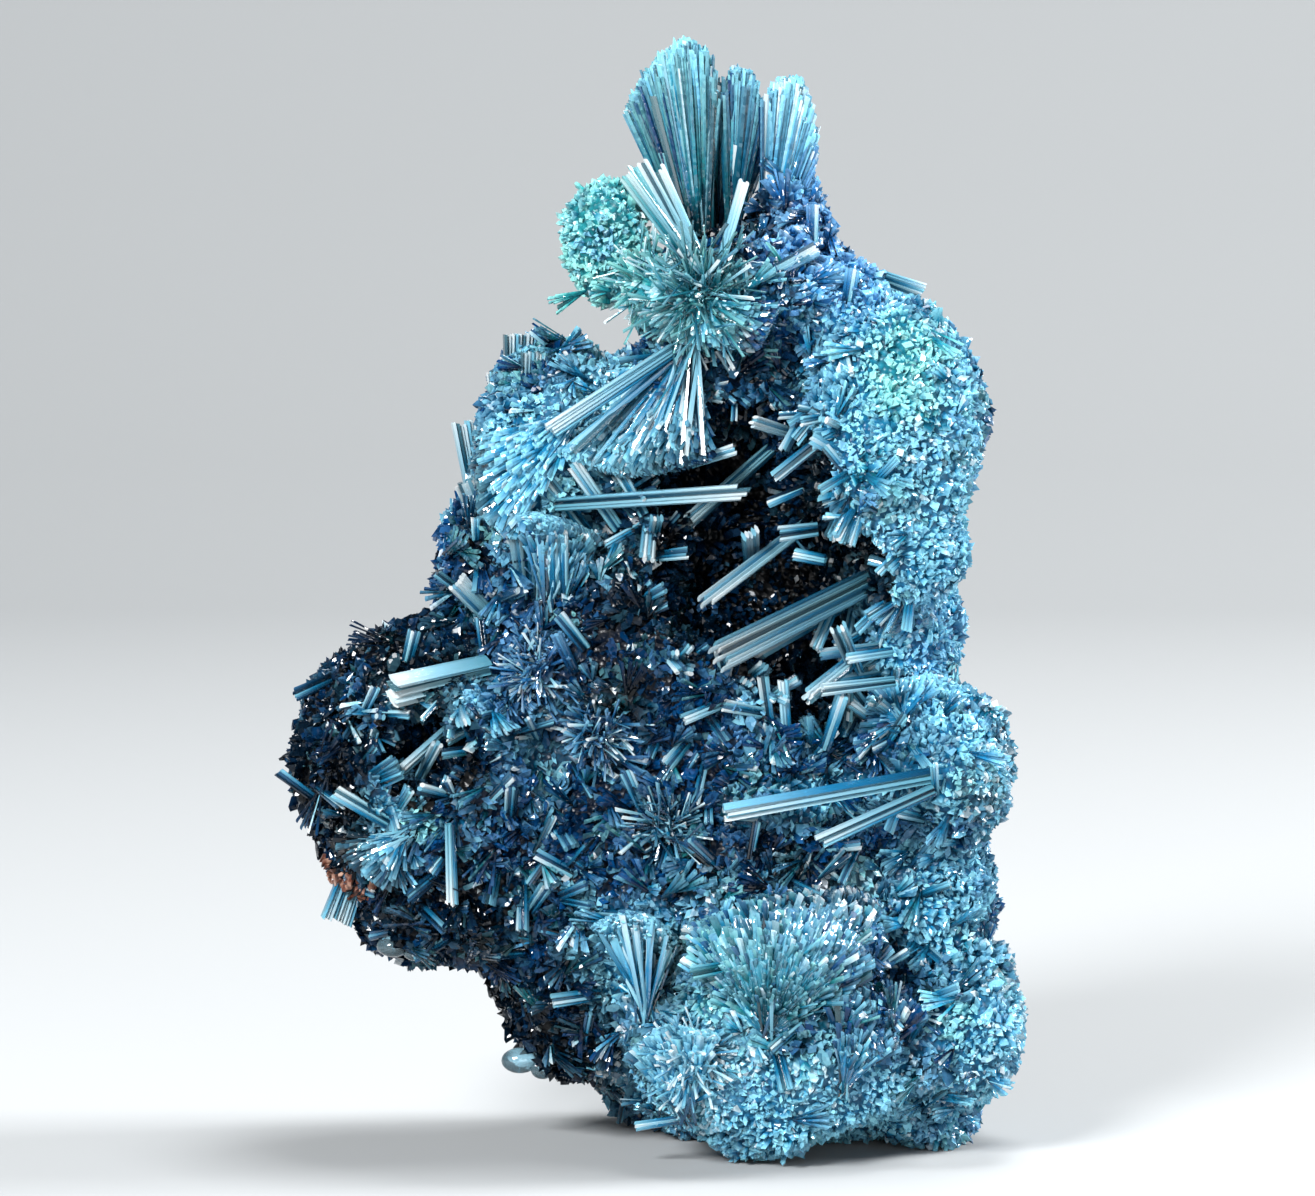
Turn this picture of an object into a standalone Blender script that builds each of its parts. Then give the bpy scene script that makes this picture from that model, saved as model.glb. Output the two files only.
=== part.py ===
"""Indicolite tourmaline cluster: a grown-together mass of blue tourmaline sprays and druse, standing on its
broken foot, with a crust of crystals in each of its two hollows.

Metres, +Z up. The origin is on the surface that the cluster stands on, under the middle of the cluster, and
-Y is the display side. Places in the tables below are millimetres in that frame.
"""

import math
import random

import bmesh
import bpy
from mathutils import Matrix, Vector

MM = 0.001
GRAIN = 4.1  # spacing of the faces that the druse grows on
SOFTEN = 2  # smoothing passes that run the lobes into each other
ROUGHEN = 0.5  # how far each point of the skin is off its smooth place
POINTED = 0.40  # share of the skin's faces with a pointed crystal
POINT_HEIGHTS = (0.8, 1.3, 1.9)  # how far pointed crystals stand out
BLOCKED = 0.12  # share of the display side's faces with a flat-ended crystal
BLOCK_HEIGHTS = (1.0, 1.9)  # how far flat-ended crystals stand out
BLOCK_EDGE = 0.45  # how much narrower a flat-ended crystal is at its end, on each side
DISPLAY_SIDE = 6.0  # flat-ended crystals grow in front of this Y
GAP = 0.45  # clear space between a crust and what is round it
CRUST_WALL = 1.7  # thickness of the crust that a hollow's crystals stand on
CRUST_POINT = 1.3  # how far its crystals stand into the hollow
ROOT = 2.2  # how deep a spray is rooted below the surface
RIPPLE = 0.8  # how far every other blade of a spray is in front of the next
SIDES = 6  # a tourmaline prism's faces
SLENDER = 0.62  # a blade's thickness as a share of its width
ROOT_WIDTH = 0.76  # width of a crystal's root as a share of its tip's width
SLANT = 0.25  # how far out of square a crystal's end is
DRUSE_SEED = 3
FRONT_SEED = 11
CRUST_SEED = 13
FLOOR_BLOCK = (200.0, 200.0, 40.0)  # the block that cuts the foot flat

# The grown lobes of the mass: centre, then half sizes along X, Y and Z.
LOBES = {
    "foot": ((12.5, 4, 12), (20, 17, 14)),
    "back_foot": ((2, 10, 8), (8, 9, 10)),
    "keel": ((-6.4, 3, 17.6), (10.8, 14, 12.2)),
    "right_toe": ((26, 0, 7.5), (8, 12, 8)),
    "belly": ((5, 3, 31), (26, 19, 19)),
    "heel": ((-19.8, 0, 26.0), (12.0, 12, 8.8)),
    "left_lobe": ((-22.6, -1, 38.2), (14.8, 15.5, 15.2)),
    "waist": ((1, 3, 48), (23, 18, 18)),
    "saddle": ((-14.2, 1, 58.6), (8.2, 11, 8)),
    "chest": ((8.4, 4, 65), (20, 17, 18)),
    "left_flank": ((-10.6, 2, 68), (8.2, 12.5, 14.0)),
    "right_side": ((23.8, 3, 53), (8, 12, 10)),
    "right_lobe": ((23.2, -6, 71.2), (9.8, 13, 14.6)),
    "lobe_fringe": ((23.5, -9, 60.5), (8.2, 8, 6)),
    "right_hip": ((27.6, -4, 38.4), (8.8, 13, 8.8)),
    "right_column": ((26.8, -2, 25), (7.6, 11, 9)),
    "right_foot": ((29.6, -6, 13.0), (7.6, 11, 9.4)),
    "apron": ((11, -13, 11), (15, 8.5, 10.5)),
    "bloom": ((12.5, -15, 21), (9.2, 8, 6.4)),
    "head": ((6.8, -2, 85), (8.8, 10, 6.8)),
    "right_shoulder": ((17.0, 0, 83.2), (8.6, 9, 6.0)),
    "blue_shoulder": ((13.4, 3, 91), (4.6, 6.5, 6.0)),
    "seafoam": ((-5.2, 3, 90.6), (5.0, 6, 6.6)),
}

# The rounded spaces that make up each hollow: centre, then half sizes.
HOLLOWS = {
    "vug_crust": [
        ((7.5, -13, 68.0), (10.5, 14, 8.5)),
        ((11, -14, 57.5), (12.5, 14, 9)),
        ((17, -13, 47.5), (6.5, 11, 7)),
    ],
    "side_vug_crust": [
        ((-23.2, -15, 41), (5.2, 8, 5.5)),
    ],
}

# The large crystals that show one by one: root (x, z), tip (x, z), width, and how far the tip stands in
# front of the lobes there. A root with a third number is at that depth instead of on the display side.
BLADES = [
    ((3.4, 81.5), (-11.3, 72.0), 1.7, 2.4),
    ((-10.2, 65.0), (9.2, 66.6), 1.6, 1.0),
    ((27.0, 39.0), (5.6, 35.2), 1.9, 2.2),
    ((27.0, 37.5), (15.2, 32.2), 1.5, 3.0),
    ((-17.0, 48.8), (-26.4, 47.0), 3.2, 2.8),
    ((-26.5, 34.0), (-32.0, 37.2), 1.5, 1.6),
    ((-20.5, 34.0), (-20.3, 25.6), 1.2, 1.6),
    ((-17.0, 54.0), (-20.0, 57.4), 2.2, 2.0),
    ((22.5, 86.8, -1.0), (26.4, 85.4), 2.0, 0.6),
    ((-14.0, 75.0, 1.0), (-13.8, 81.6), 3.4, 0.6),
    ((-12.5, 75.0, -3.0), (-12.2, 79.8), 3.0, 0.6),
    ((-15.5, 72.0, 3.0), (-16.2, 77.5), 2.2, 0.4),
    ((-18.0, 64.0, 3.0), (-19.4, 72.6), 2.8, 0.4),
    ((-17.0, 62.0, -2.0), (-19.0, 67.0), 3.0, 0.4),
    ((-30.0, 29.0, -5.0), (-32.2, 22.8), 3.2, 0.4),
    ((5.4, 23.2), (2.2, 23.4), 1.5, 1.6),
    ((3.5, 88.5), (-3.4, 97.6), 1.8, 1.2),
    ((3.9, 88.5), (-1.8, 98.4), 1.6, 1.8),
    ((4.3, 88.5), (-0.2, 98.0), 1.6, 2.2),
    ((6.0, 88.5), (8.6, 97.0), 1.1, 2.2),
    ((9.6, 87.0), (15.8, 90.0), 1.6, 1.6),
]

# The sprays: root (x, z), tips (x, z), width, how far the tips stand in front of the lobes, and the depth
# of the root where it isn't on the display side.
SPRAYS = {
    "left_plume": ((4.6, 86.0), [(-3.1, 104.2), (-1.5, 107.0), (0.7, 109.8), (2.9, 110.9), (4.8, 109.2),
                                 (5.8, 106.0)], 3.4, 0.0, 4.0),
    "back_plume": ((6.0, 87.0), [(-1.6, 102.0), (1.8, 105.0), (5.2, 104.0), (8.6, 103.6), (12.4, 103.0)],
                   3.2, 0.0, 8.0),
    "middle_plume": ((7.2, 88.0), [(6.9, 106.0), (8.4, 107.9), (9.7, 106.5)], 2.0, 0.0, 5.0),
    "right_plume": ((10.4, 87.0), [(11.6, 105.9), (13.6, 107.0), (15.0, 104.6), (15.3, 100.8),
                                   (15.4, 97.0)], 2.9, 0.0, 3.0),
    "white_fan": ((3.4, 81.0), [(-9.6, 70.2), (-6.8, 68.8), (-3.8, 68.2), (-0.8, 68.4), (2.4, 69.0),
                                (4.8, 69.8)], 2.0, 1.4, None),
    "broom": ((-6.6, 75.0), [(-18.2, 69.8), (-18.6, 67.0), (-17.5, 64.2), (-15.6, 62.2)], 2.6, 1.8, None),
    "small_fan": ((-11.0, 55.5), [(-14.0, 64.2), (-11.6, 64.0), (-8.8, 63.2), (-6.0, 61.6)], 2.0, 1.6, None),
    "foot_fan": ((-1.4, 15.0), [(-6.2, 23.8), (-3.6, 25.2), (-0.6, 24.8), (2.0, 22.4)], 2.2, 1.8, None),
    "hip_fan": ((24.0, 44.0), [(19.8, 40.8), (21.4, 47.0), (27.5, 47.6)], 2.2, 1.4, None),
    "lobe_fan": ((-24.5, 33.0), [(-31.6, 32.0), (-30.0, 29.6), (-26.6, 27.4)], 2.0, 1.4, None),
    "bloom_fan": ((10.0, 14.0), [(3.6, 22.6), (6.8, 25.4), (10.6, 26.8), (14.6, 26.4), (18.4, 24.2)], 3.0,
                  1.2, None),
    "starburst": ((4.2, 85.5), [(-2.6, 89.4), (-3.4, 85.6), (-1.8, 81.8), (9.6, 80.6), (11.4, 84.4)], 1.3,
                  1.6, None),
}

# Crystals of the crusts that cross their hollow: root, tip, width.
CROSSING = {
    "vug_crust": [
        ((16.5, -4.0, 64.0), (4.0, -14.0, 55.4), 1.5),
        ((21.5, -8.0, 57.5), (5.2, -16.5, 50.2), 3.0),
        ((-0.5, -5.5, 66.5), (-1.2, -13.0, 59.6), 1.6),
        ((12.5, -1.0, 71.0), (0.5, -8.0, 61.0), 1.7),
        ((15.5, -6.0, 71.0), (9.0, -13.0, 73.5), 1.3),
        ((20.5, -5.0, 46.0), (17.5, -16.0, 53.6), 1.7),
        ((21.5, -6.0, 51.0), (14.5, -16.0, 46.5), 1.6),
        ((9.5, 0.5, 57.0), (9.0, -12.0, 62.5), 1.8),
    ],
    "side_vug_crust": [
        ((-20.0, -10.0, 43.5), (-25.4, -15.0, 39.0), 1.2),
        ((-24.0, -9.0, 37.2), (-21.6, -15.0, 42.0), 1.2),
    ],
}

MATERIALS = {
    "indicolite": ((0.10, 0.36, 0.50), 0.22),
    "vug_indicolite": ((0.02, 0.10, 0.18), 0.15),
}


def clear_scene():
    for obj in list(bpy.data.objects):
        bpy.data.objects.remove(obj)


def collection(name, shown=True):
    made = bpy.data.collections.new(name)
    bpy.context.scene.collection.children.link(made)
    made.hide_render = not shown
    return made


def material(name):
    colour, roughness = MATERIALS[name]
    made = bpy.data.materials.new(name)
    made.use_nodes = True
    shader = made.node_tree.nodes["Principled BSDF"]
    shader.inputs["Base Color"].default_value = (*colour, 1)
    shader.inputs["Roughness"].default_value = roughness
    shader.inputs["Metallic"].default_value = 0.0
    made.diffuse_color = (*colour, 1)
    return made


def object_from(bm, name, home, helper=False):
    """A new object that holds the bmesh, in the collection home. A helper isn't rendered."""
    mesh = bpy.data.meshes.new(name)
    bm.to_mesh(mesh)
    bm.free()
    obj = bpy.data.objects.new(name, mesh)
    home.objects.link(obj)
    if helper:
        obj.hide_render = True
        obj.display_type = "WIRE"
    return obj


def settle(obj):
    """Puts the result of the object's modifiers in its mesh."""
    graph = bpy.context.evaluated_depsgraph_get()
    mesh = bpy.data.meshes.new_from_object(obj.evaluated_get(graph))
    obj.modifiers.clear()
    obj.data = mesh


def boolean(obj, operation, other, solver="EXACT"):
    """Joins other to obj, or cuts it from obj, and puts the result in obj's mesh."""
    modifier = obj.modifiers.new(operation.lower(), "BOOLEAN")
    modifier.operation = operation
    modifier.object = other
    modifier.solver = solver
    settle(obj)


def fuse(obj, helpers):
    """Makes one skin of the object's shells and folds, by uniting it with itself and an empty mesh."""
    modifier = obj.modifiers.new("fuse", "BOOLEAN")
    modifier.operation = "UNION"
    modifier.object = object_from(bmesh.new(), "nothing", helpers, helper=True)
    modifier.solver = "EXACT"
    modifier.use_self = True
    settle(obj)


def rounded(bm, centre, half_sizes, subdivisions=3, less=0.0):
    """Adds an ellipsoid, with each half size smaller by less."""
    place = Matrix.Translation(Vector(centre) * MM)
    size = Matrix.Diagonal([(half - less) * MM for half in half_sizes] + [1])
    bmesh.ops.create_icosphere(bm, subdivisions=subdivisions, radius=1.0, matrix=place @ size)


def display_depth(x, z):
    """Y of the lobes' display side at (x, z), or of the cluster's middle where no lobe is."""
    depths = [0.0]
    for centre, half in LOBES.values():
        across = ((x - centre[0]) / half[0]) ** 2 + ((z - centre[2]) / half[2]) ** 2
        if across < 1:
            depths.append(centre[1] - half[1] * math.sqrt(1 - across))
    return min(depths)


def crystal(bm, root, tip, width, dice, extra=0.0):
    """Adds a six-sided prism that widens from its root to a slightly slanted end, larger all round by extra."""
    root, tip = Vector(root) * MM, Vector(tip) * MM
    along = (tip - root).normalized()
    length = (tip - root).length
    turn = along.to_track_quat("Z", "Y").to_matrix().to_4x4()
    roll = Matrix.Rotation(dice.uniform(0, math.pi), 4, "Z")
    made = bmesh.ops.create_cone(
        bm,
        cap_ends=True,
        segments=SIDES,
        radius1=(width * ROOT_WIDTH / 2 + extra) * MM,
        radius2=(width / 2 + extra) * MM,
        depth=length + 2 * extra * MM,
        matrix=Matrix.Translation((root + tip) / 2) @ turn @ roll @ Matrix.Diagonal((1, SLENDER, 1, 1)),
    )
    lean = Vector([dice.uniform(-SLANT, SLANT) for _ in range(3)])
    for vertex in made["verts"]:
        if (vertex.co - root).dot(along) > length / 2:
            vertex.co += along * (vertex.co - tip).dot(lean)


def front_crystals(bm, dice, extra=0.0):
    """Adds the blades and sprays of the mass, larger all round by extra."""
    for root, tip, width, stand in BLADES:
        if len(root) == 3:
            depth = near = root[2]
        else:
            depth = display_depth(*root) + ROOT
            near = display_depth(*tip) - stand
        crystal(bm, (root[0], depth, root[1]), (tip[0], near, tip[1]), width, dice, extra)
    for (x, z), tips, width, stand, behind in SPRAYS.values():
        depth = display_depth(x, z) + ROOT if behind is None else behind
        for i, (tip_x, tip_z) in enumerate(tips):
            near = display_depth(tip_x, tip_z) - stand if behind is None else behind
            near += RIPPLE * (i % 2)
            crystal(bm, (x, depth, z), (tip_x, near, tip_z), width, dice, extra)


def druse(bm, dice):
    """Grows a crystal on many faces of the mass: some pointed, and on the display side some flat-ended."""
    for vertex in bm.verts:
        vertex.co += Vector([dice.uniform(-ROUGHEN, ROUGHEN) for _ in range(3)]) * MM
    pointed, blocked = [], []
    for face in bm.faces:
        throw = dice.random()
        if throw < POINTED:
            pointed.append(face)
        elif throw < POINTED + BLOCKED and face.calc_center_median().y < DISPLAY_SIDE * MM:
            blocked.append(face)
    for i, height in enumerate(BLOCK_HEIGHTS):
        faces = blocked[i :: len(BLOCK_HEIGHTS)]
        bmesh.ops.inset_individual(bm, faces=faces, thickness=BLOCK_EDGE * MM, depth=height * MM)
    for i, height in enumerate(POINT_HEIGHTS):
        faces = pointed[i :: len(POINT_HEIGHTS)]
        bmesh.ops.poke(bm, faces=faces, offset=height * MM, center_mode="MEAN")


def fused_lobes(home):
    """One skin over all the lobes, in even faces, with the lobes run into each other."""
    bm = bmesh.new()
    for centre, half in LOBES.values():
        rounded(bm, centre, half)
    obj = object_from(bm, "indicolite_mass", home)
    skin = obj.modifiers.new("skin", "REMESH")
    skin.mode = "VOXEL"
    skin.voxel_size = GRAIN * MM
    settle(obj)
    bm = bmesh.new()
    bm.from_mesh(obj.data)
    for _ in range(SOFTEN):
        bmesh.ops.smooth_vert(bm, verts=bm.verts, factor=0.5, use_axis_x=True, use_axis_y=True,
                              use_axis_z=True)
    bm.to_mesh(obj.data)
    bm.free()
    return obj


def copy_of(obj, name, helpers):
    made = bpy.data.objects.new(name, obj.data.copy())
    helpers.objects.link(made)
    made.hide_render = True
    made.display_type = "WIRE"
    return made


def hollow_space(name, helpers, less=0.0, dice=None):
    """The space of one hollow, smaller all round by less, and with dice, dented by the crystals of its crust."""
    bm = bmesh.new()
    for centre, half in HOLLOWS[name]:
        rounded(bm, centre, half, subdivisions=2, less=less)
    obj = object_from(bm, name + "_space", helpers, helper=True)
    fuse(obj, helpers)
    if dice:
        bm = bmesh.new()
        bm.from_mesh(obj.data)
        chosen = [face for face in bm.faces if dice.random() < POINTED]
        bmesh.ops.poke(bm, faces=chosen, offset=-CRUST_POINT * MM, center_mode="MEAN")
        bm.to_mesh(obj.data)
        bm.free()
        fuse(obj, helpers)
    return obj


def make_crust(name, home, helpers, skin, dice):
    """The crystal lining of one hollow, clear of the mass by the gap, with the crystals that cross it."""
    crust = copy_of(hollow_space(name, helpers, less=GAP), name, home)
    crust.hide_render = False
    crust.display_type = "TEXTURED"
    boolean(crust, "DIFFERENCE", hollow_space(name, helpers, less=GAP + CRUST_WALL, dice=dice))
    boolean(crust, "INTERSECT", skin)
    bm = bmesh.new()
    for root, tip, width in CROSSING[name]:
        crystal(bm, root, tip, width, dice)
    crossing = object_from(bm, name + "_crossing", helpers, helper=True)
    fuse(crossing, helpers)
    boolean(crossing, "INTERSECT", hollow_space(name, helpers, less=GAP))
    boolean(crust, "UNION", crossing)
    return crust


def pieces_of(bm):
    """The sets of vertices that hang together."""
    left = set(bm.verts)
    pieces = []
    while left:
        piece, waiting = set(), [left.pop()]
        while waiting:
            vertex = waiting.pop()
            piece.add(vertex)
            near = {edge.other_vert(vertex) for edge in vertex.link_edges} & left
            left -= near
            waiting.extend(near)
        pieces.append(piece)
    return pieces


def drop_crumbs(obj):
    """Removes the loose crumbs that cutting a hollow leaves of the crystals round its rim."""
    bm = bmesh.new()
    bm.from_mesh(obj.data)
    pieces = sorted(pieces_of(bm), key=len)
    for crumb in pieces[:-1]:
        bmesh.ops.delete(bm, geom=list(crumb), context="VERTS")
    bm.to_mesh(obj.data)
    bm.free()


def cut_floor(obj, helpers):
    size = Vector(FLOOR_BLOCK) * MM
    bm = bmesh.new()
    below = Matrix.Translation((0, 0, -size.z / 2)) @ Matrix.Diagonal((*size, 1))
    bmesh.ops.create_cube(bm, size=1.0, matrix=below)
    boolean(obj, "DIFFERENCE", object_from(bm, "floor_block", helpers, helper=True))


def make_mass(home, helpers):
    """The grown mass, and its skin as it is before the druse and the hollows."""
    mass = fused_lobes(home)
    skin = copy_of(mass, "skin", helpers)
    bm = bmesh.new()
    bm.from_mesh(mass.data)
    druse(bm, random.Random(DRUSE_SEED))
    bm.to_mesh(mass.data)
    bm.free()
    fuse(mass, helpers)
    for name in HOLLOWS:
        boolean(mass, "DIFFERENCE", hollow_space(name, helpers))
    boolean(mass, "UNION", front_object("front_crystals", helpers))
    cut_floor(mass, helpers)
    drop_crumbs(mass)
    mass.data.materials.append(material("indicolite"))
    return skin


def front_object(name, helpers, extra=0.0):
    bm = bmesh.new()
    front_crystals(bm, random.Random(FRONT_SEED), extra)
    obj = object_from(bm, name, helpers, helper=True)
    fuse(obj, helpers)
    return obj


def main():
    clear_scene()
    home = collection("indicolite_tourmaline_cluster")
    helpers = collection("helpers", shown=False)
    skin = make_mass(home, helpers)
    clearance = front_object("clearance", helpers, extra=GAP)
    for name in HOLLOWS:
        crust = make_crust(name, home, helpers, skin, random.Random(CRUST_SEED))
        # The exact solver loses this crust where the clearance's many shells cross it.
        boolean(crust, "DIFFERENCE", clearance, solver="MANIFOLD")
        drop_crumbs(crust)
        crust.data.materials.append(material("vug_indicolite"))


main()
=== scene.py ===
import math

import bmesh
import bpy
import numpy as np
from mathutils import Matrix, Vector, noise
from mathutils.kdtree import KDTree


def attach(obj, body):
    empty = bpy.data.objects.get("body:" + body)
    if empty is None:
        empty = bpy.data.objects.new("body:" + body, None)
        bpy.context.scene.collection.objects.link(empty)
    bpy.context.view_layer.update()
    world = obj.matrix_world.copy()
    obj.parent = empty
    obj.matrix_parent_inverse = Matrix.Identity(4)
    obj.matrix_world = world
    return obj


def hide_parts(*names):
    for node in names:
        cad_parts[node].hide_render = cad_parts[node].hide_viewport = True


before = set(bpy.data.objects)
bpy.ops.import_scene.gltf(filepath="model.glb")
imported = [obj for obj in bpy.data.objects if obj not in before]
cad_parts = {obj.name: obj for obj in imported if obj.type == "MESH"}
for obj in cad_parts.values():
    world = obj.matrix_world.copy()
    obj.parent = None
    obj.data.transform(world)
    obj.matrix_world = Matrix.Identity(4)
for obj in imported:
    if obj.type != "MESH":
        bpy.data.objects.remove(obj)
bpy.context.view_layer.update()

MM = 0.001
BODY = "root"
CORE_GRAIN = 1.1  # spacing of the faces of the core that the crystals grow on
CORE_DEPTH = 0.7  # the core lies this far inside the grown surface
GAP = 0.45  # clear space between a crust and the wall of its hollow
LUMPS = [(9.0, 1.5), (3.4, 0.7)]  # sizes of the core's lumps and how far they stand out
FLOOR_CLEAR = 0.02  # nothing reaches lower than this
BACK = 5.0  # Y past which the cluster's back is
DRUSE_COUNT = 48000
THIN_BACK = 0.55  # how dense the druse is behind, against the display side
DENSE_PALE = 0.7  # how much denser the druse is where it is pale
PATCH = 2.4  # how far apart the middles of the druse's patches are
FAN_COUNT = 420
LATHS_IN_FAN = 10
SHARD_COUNT = 900  # broad crystals on the rougher parts
STREWN_COUNT = 180  # short blades that lie about on the display side
FEATHERS = 62  # fine crystals of a spray for each millimetre of its edge
SHEET_GRAIN = 0.15  # spacing of a sheet's points across its growth
SHEET_ROWS = 12  # rows of a sheet's points from its foot to its tips
CRUST_COUNT = {"vug_crust": 5200, "side_vug_crust": 900}
LATH = 0.36  # about how wide the laths of a blade are
ROOT = 0.4  # how deep a spray is rooted below the surface
SLENDER = 0.62  # a blade's thickness as a share of its width

# The grown lobes of the mass, in millimetres: centre, then half sizes along X, Y and Z.
LOBES = {
    "foot": ((12.5, 4, 12), (20, 17, 14)),
    "back_foot": ((2, 10, 8), (8, 9, 10)),
    "keel": ((-6.4, 3, 17.6), (10.8, 14, 12.2)),
    "right_toe": ((26, 0, 7.5), (8, 12, 8)),
    "belly": ((5, 3, 31), (26, 19, 19)),
    "heel": ((-19.8, 0, 26.0), (12.0, 12, 8.8)),
    "left_lobe": ((-22.6, -1, 38.2), (14.8, 15.5, 15.2)),
    "waist": ((1, 3, 48), (23, 18, 18)),
    "saddle": ((-14.2, 1, 58.6), (8.2, 11, 8)),
    "chest": ((8.4, 4, 65), (20, 17, 18)),
    "left_flank": ((-10.6, 2, 68), (8.2, 12.5, 14.0)),
    "right_side": ((23.8, 3, 53), (8, 12, 10)),
    "right_lobe": ((23.2, -6, 71.2), (9.8, 13, 14.6)),
    "lobe_fringe": ((23.5, -9, 60.5), (8.2, 8, 6)),
    "right_hip": ((27.6, -4, 38.4), (8.8, 13, 8.8)),
    "right_column": ((26.8, -2, 25), (7.6, 11, 9)),
    "right_foot": ((29.6, -6, 13.0), (7.6, 11, 9.4)),
    "apron": ((11, -13, 11), (15, 8.5, 10.5)),
    "bloom": ((12.5, -15, 21), (9.2, 8, 6.4)),
    "head": ((6.8, -2, 85), (8.8, 10, 6.8)),
    "right_shoulder": ((17.0, 0, 83.2), (8.6, 9, 6.0)),
    "blue_shoulder": ((13.4, 3, 91), (4.6, 6.5, 6.0)),
    "seafoam": ((-5.2, 3, 90.6), (5.0, 6, 6.6)),
}

# The rounded spaces that make up each hollow: centre, then half sizes.
HOLLOWS = {
    "vug_crust": [
        ((7.5, -13, 68.0), (10.5, 14, 8.5)),
        ((11, -14, 57.5), (12.5, 14, 9)),
        ((17, -13, 47.5), (6.5, 11, 7)),
    ],
    "side_vug_crust": [
        ((-23.2, -15, 41), (5.2, 8, 5.5)),
    ],
}

# The large crystals that show one by one: root (x, z), tip (x, z), width, and how far the tip stands in
# front of the lobes there. A root with a third number is at that depth instead of on the display side.
BLADES = [
    ((3.4, 81.5), (-11.3, 72.0), 1.7, 2.4),
    ((-10.2, 65.0), (9.2, 66.6), 1.6, 1.0),
    ((27.0, 39.0), (5.6, 35.2), 1.9, 2.2),
    ((27.0, 37.5), (15.2, 32.2), 1.5, 3.0),
    ((-17.0, 48.8), (-26.4, 47.0), 3.2, 2.8),
    ((-26.5, 34.0), (-32.0, 37.2), 1.5, 1.6),
    ((-20.5, 34.0), (-20.3, 25.6), 1.2, 1.6),
    ((-17.0, 54.0), (-20.0, 57.4), 2.2, 2.0),
    ((22.5, 86.8, -1.0), (26.4, 85.4), 2.0, 0.6),
    ((-14.0, 75.0, 1.0), (-13.8, 81.6), 3.4, 0.6),
    ((-12.5, 75.0, -3.0), (-12.2, 79.8), 3.0, 0.6),
    ((-15.5, 72.0, 3.0), (-16.2, 77.5), 2.2, 0.4),
    ((-18.0, 64.0, 3.0), (-19.4, 72.6), 2.8, 0.4),
    ((-17.0, 62.0, -2.0), (-19.0, 67.0), 3.0, 0.4),
    ((-30.0, 29.0, -5.0), (-32.2, 22.8), 3.2, 0.4),
    ((5.4, 23.2), (2.2, 23.4), 1.5, 1.6),
    ((3.5, 88.5), (-3.4, 97.6), 1.8, 1.2),
    ((3.9, 88.5), (-1.8, 98.4), 1.6, 1.8),
    ((4.3, 88.5), (-0.2, 98.0), 1.6, 2.2),
    ((6.0, 88.5), (8.6, 97.0), 1.1, 2.2),
    ((9.6, 87.0), (15.8, 90.0), 1.6, 1.6),
]

# The sprays: root (x, z), tips (x, z), how far the tips stand in front of the lobes, the depth of the
# spray where it isn't on the display side, and how many laths lie on it.
SPRAYS = {
    "left_plume": ((4.6, 86.0), [(-3.3, 103.6), (-1.9, 106.6), (0.2, 109.2), (2.5, 110.9), (4.7, 109.6),
                                 (5.9, 105.5)], 0.0, 4.0, 24),
    "back_plume": ((6.0, 87.0), [(-1.6, 102.0), (1.8, 105.0), (5.2, 104.0), (8.6, 103.6), (12.4, 103.0)],
                   0.0, 8.0, 20),
    "middle_plume": ((7.2, 88.0), [(6.4, 105.4), (7.6, 108.0), (8.9, 107.6), (10.4, 104.5)], 0.0, 5.0, 12),
    "right_plume": ((10.4, 87.0), [(10.9, 105.2), (12.2, 106.9), (14.2, 106.9), (15.3, 104.0),
                                   (15.8, 100.0), (15.2, 96.0)], 0.0, 3.0, 22),
    "white_fan": ((3.4, 81.0), [(-9.6, 70.2), (-6.8, 68.8), (-3.8, 68.2), (-0.8, 68.4), (2.4, 69.0),
                                (4.8, 69.8)], 1.4, None, 70),
    "broom": ((-6.6, 75.0), [(-18.2, 70.8), (-18.6, 67.4), (-17.5, 64.2), (-14.6, 61.8)], 1.8, None, 60),
    "small_fan": ((-11.0, 55.5), [(-14.0, 64.2), (-11.6, 64.0), (-8.8, 63.2), (-6.0, 61.6)], 1.6,
                  None, 40),
    "foot_fan": ((-1.4, 15.0), [(-6.2, 23.8), (-3.6, 25.2), (-0.6, 24.8), (2.0, 22.4)], 1.8, None, 50),
    "hip_fan": ((24.0, 44.0), [(19.8, 40.8), (21.4, 47.0), (27.5, 47.6)], 1.4, None, 30),
    "lobe_fan": ((-24.5, 33.0), [(-31.6, 32.0), (-30.0, 29.6), (-26.6, 27.4)], 1.4, None, 30),
    "bloom_fan": ((10.6, 13.6), [(2.4, 20.4), (3.6, 24.4), (8.4, 27.0), (13.6, 27.6), (18.8, 27.2),
                                 (22.4, 25.0), (22.8, 20.6)], 0.6, None, 22),
    "bloom_side_fan": ((18.0, 8.0), [(17.4, 17.6), (22.0, 18.4), (26.0, 15.4)], 0.8, None, 20),
    "apron_fan": ((3.0, 5.0), [(-2.6, 11.8), (1.0, 14.4), (5.4, 14.0)], 1.0, None, 30),
    "starburst": ((4.2, 85.5), [(-2.6, 89.4), (-3.4, 85.6), (-1.8, 81.8), (9.6, 80.6), (11.4, 84.4)],
                  1.6, None, 40),
}

# Needles that radiate from one place: centre (x, z), reach, how many, and how bright they are.
BURSTS = {
    "crown_burst": ((4.2, 85.6), 6.0, 300, 0.4),
    "crown_side_burst": ((-0.8, 86.4), 4.5, 180, 0.75),
    "violet_burst": ((-12.0, 48.7), 4.0, 240, 0.6),
    "middle_burst": ((-6.0, 42.7), 3.6, 200, 0.5),
    "low_burst": ((1.0, 33.5), 4.0, 160, 0.4),
    "apron_burst": ((3.5, 11.5), 4.5, 240, 0.85),
}
RIM_COUNT = {"vug_crust": 130, "side_vug_crust": 60}

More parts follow.
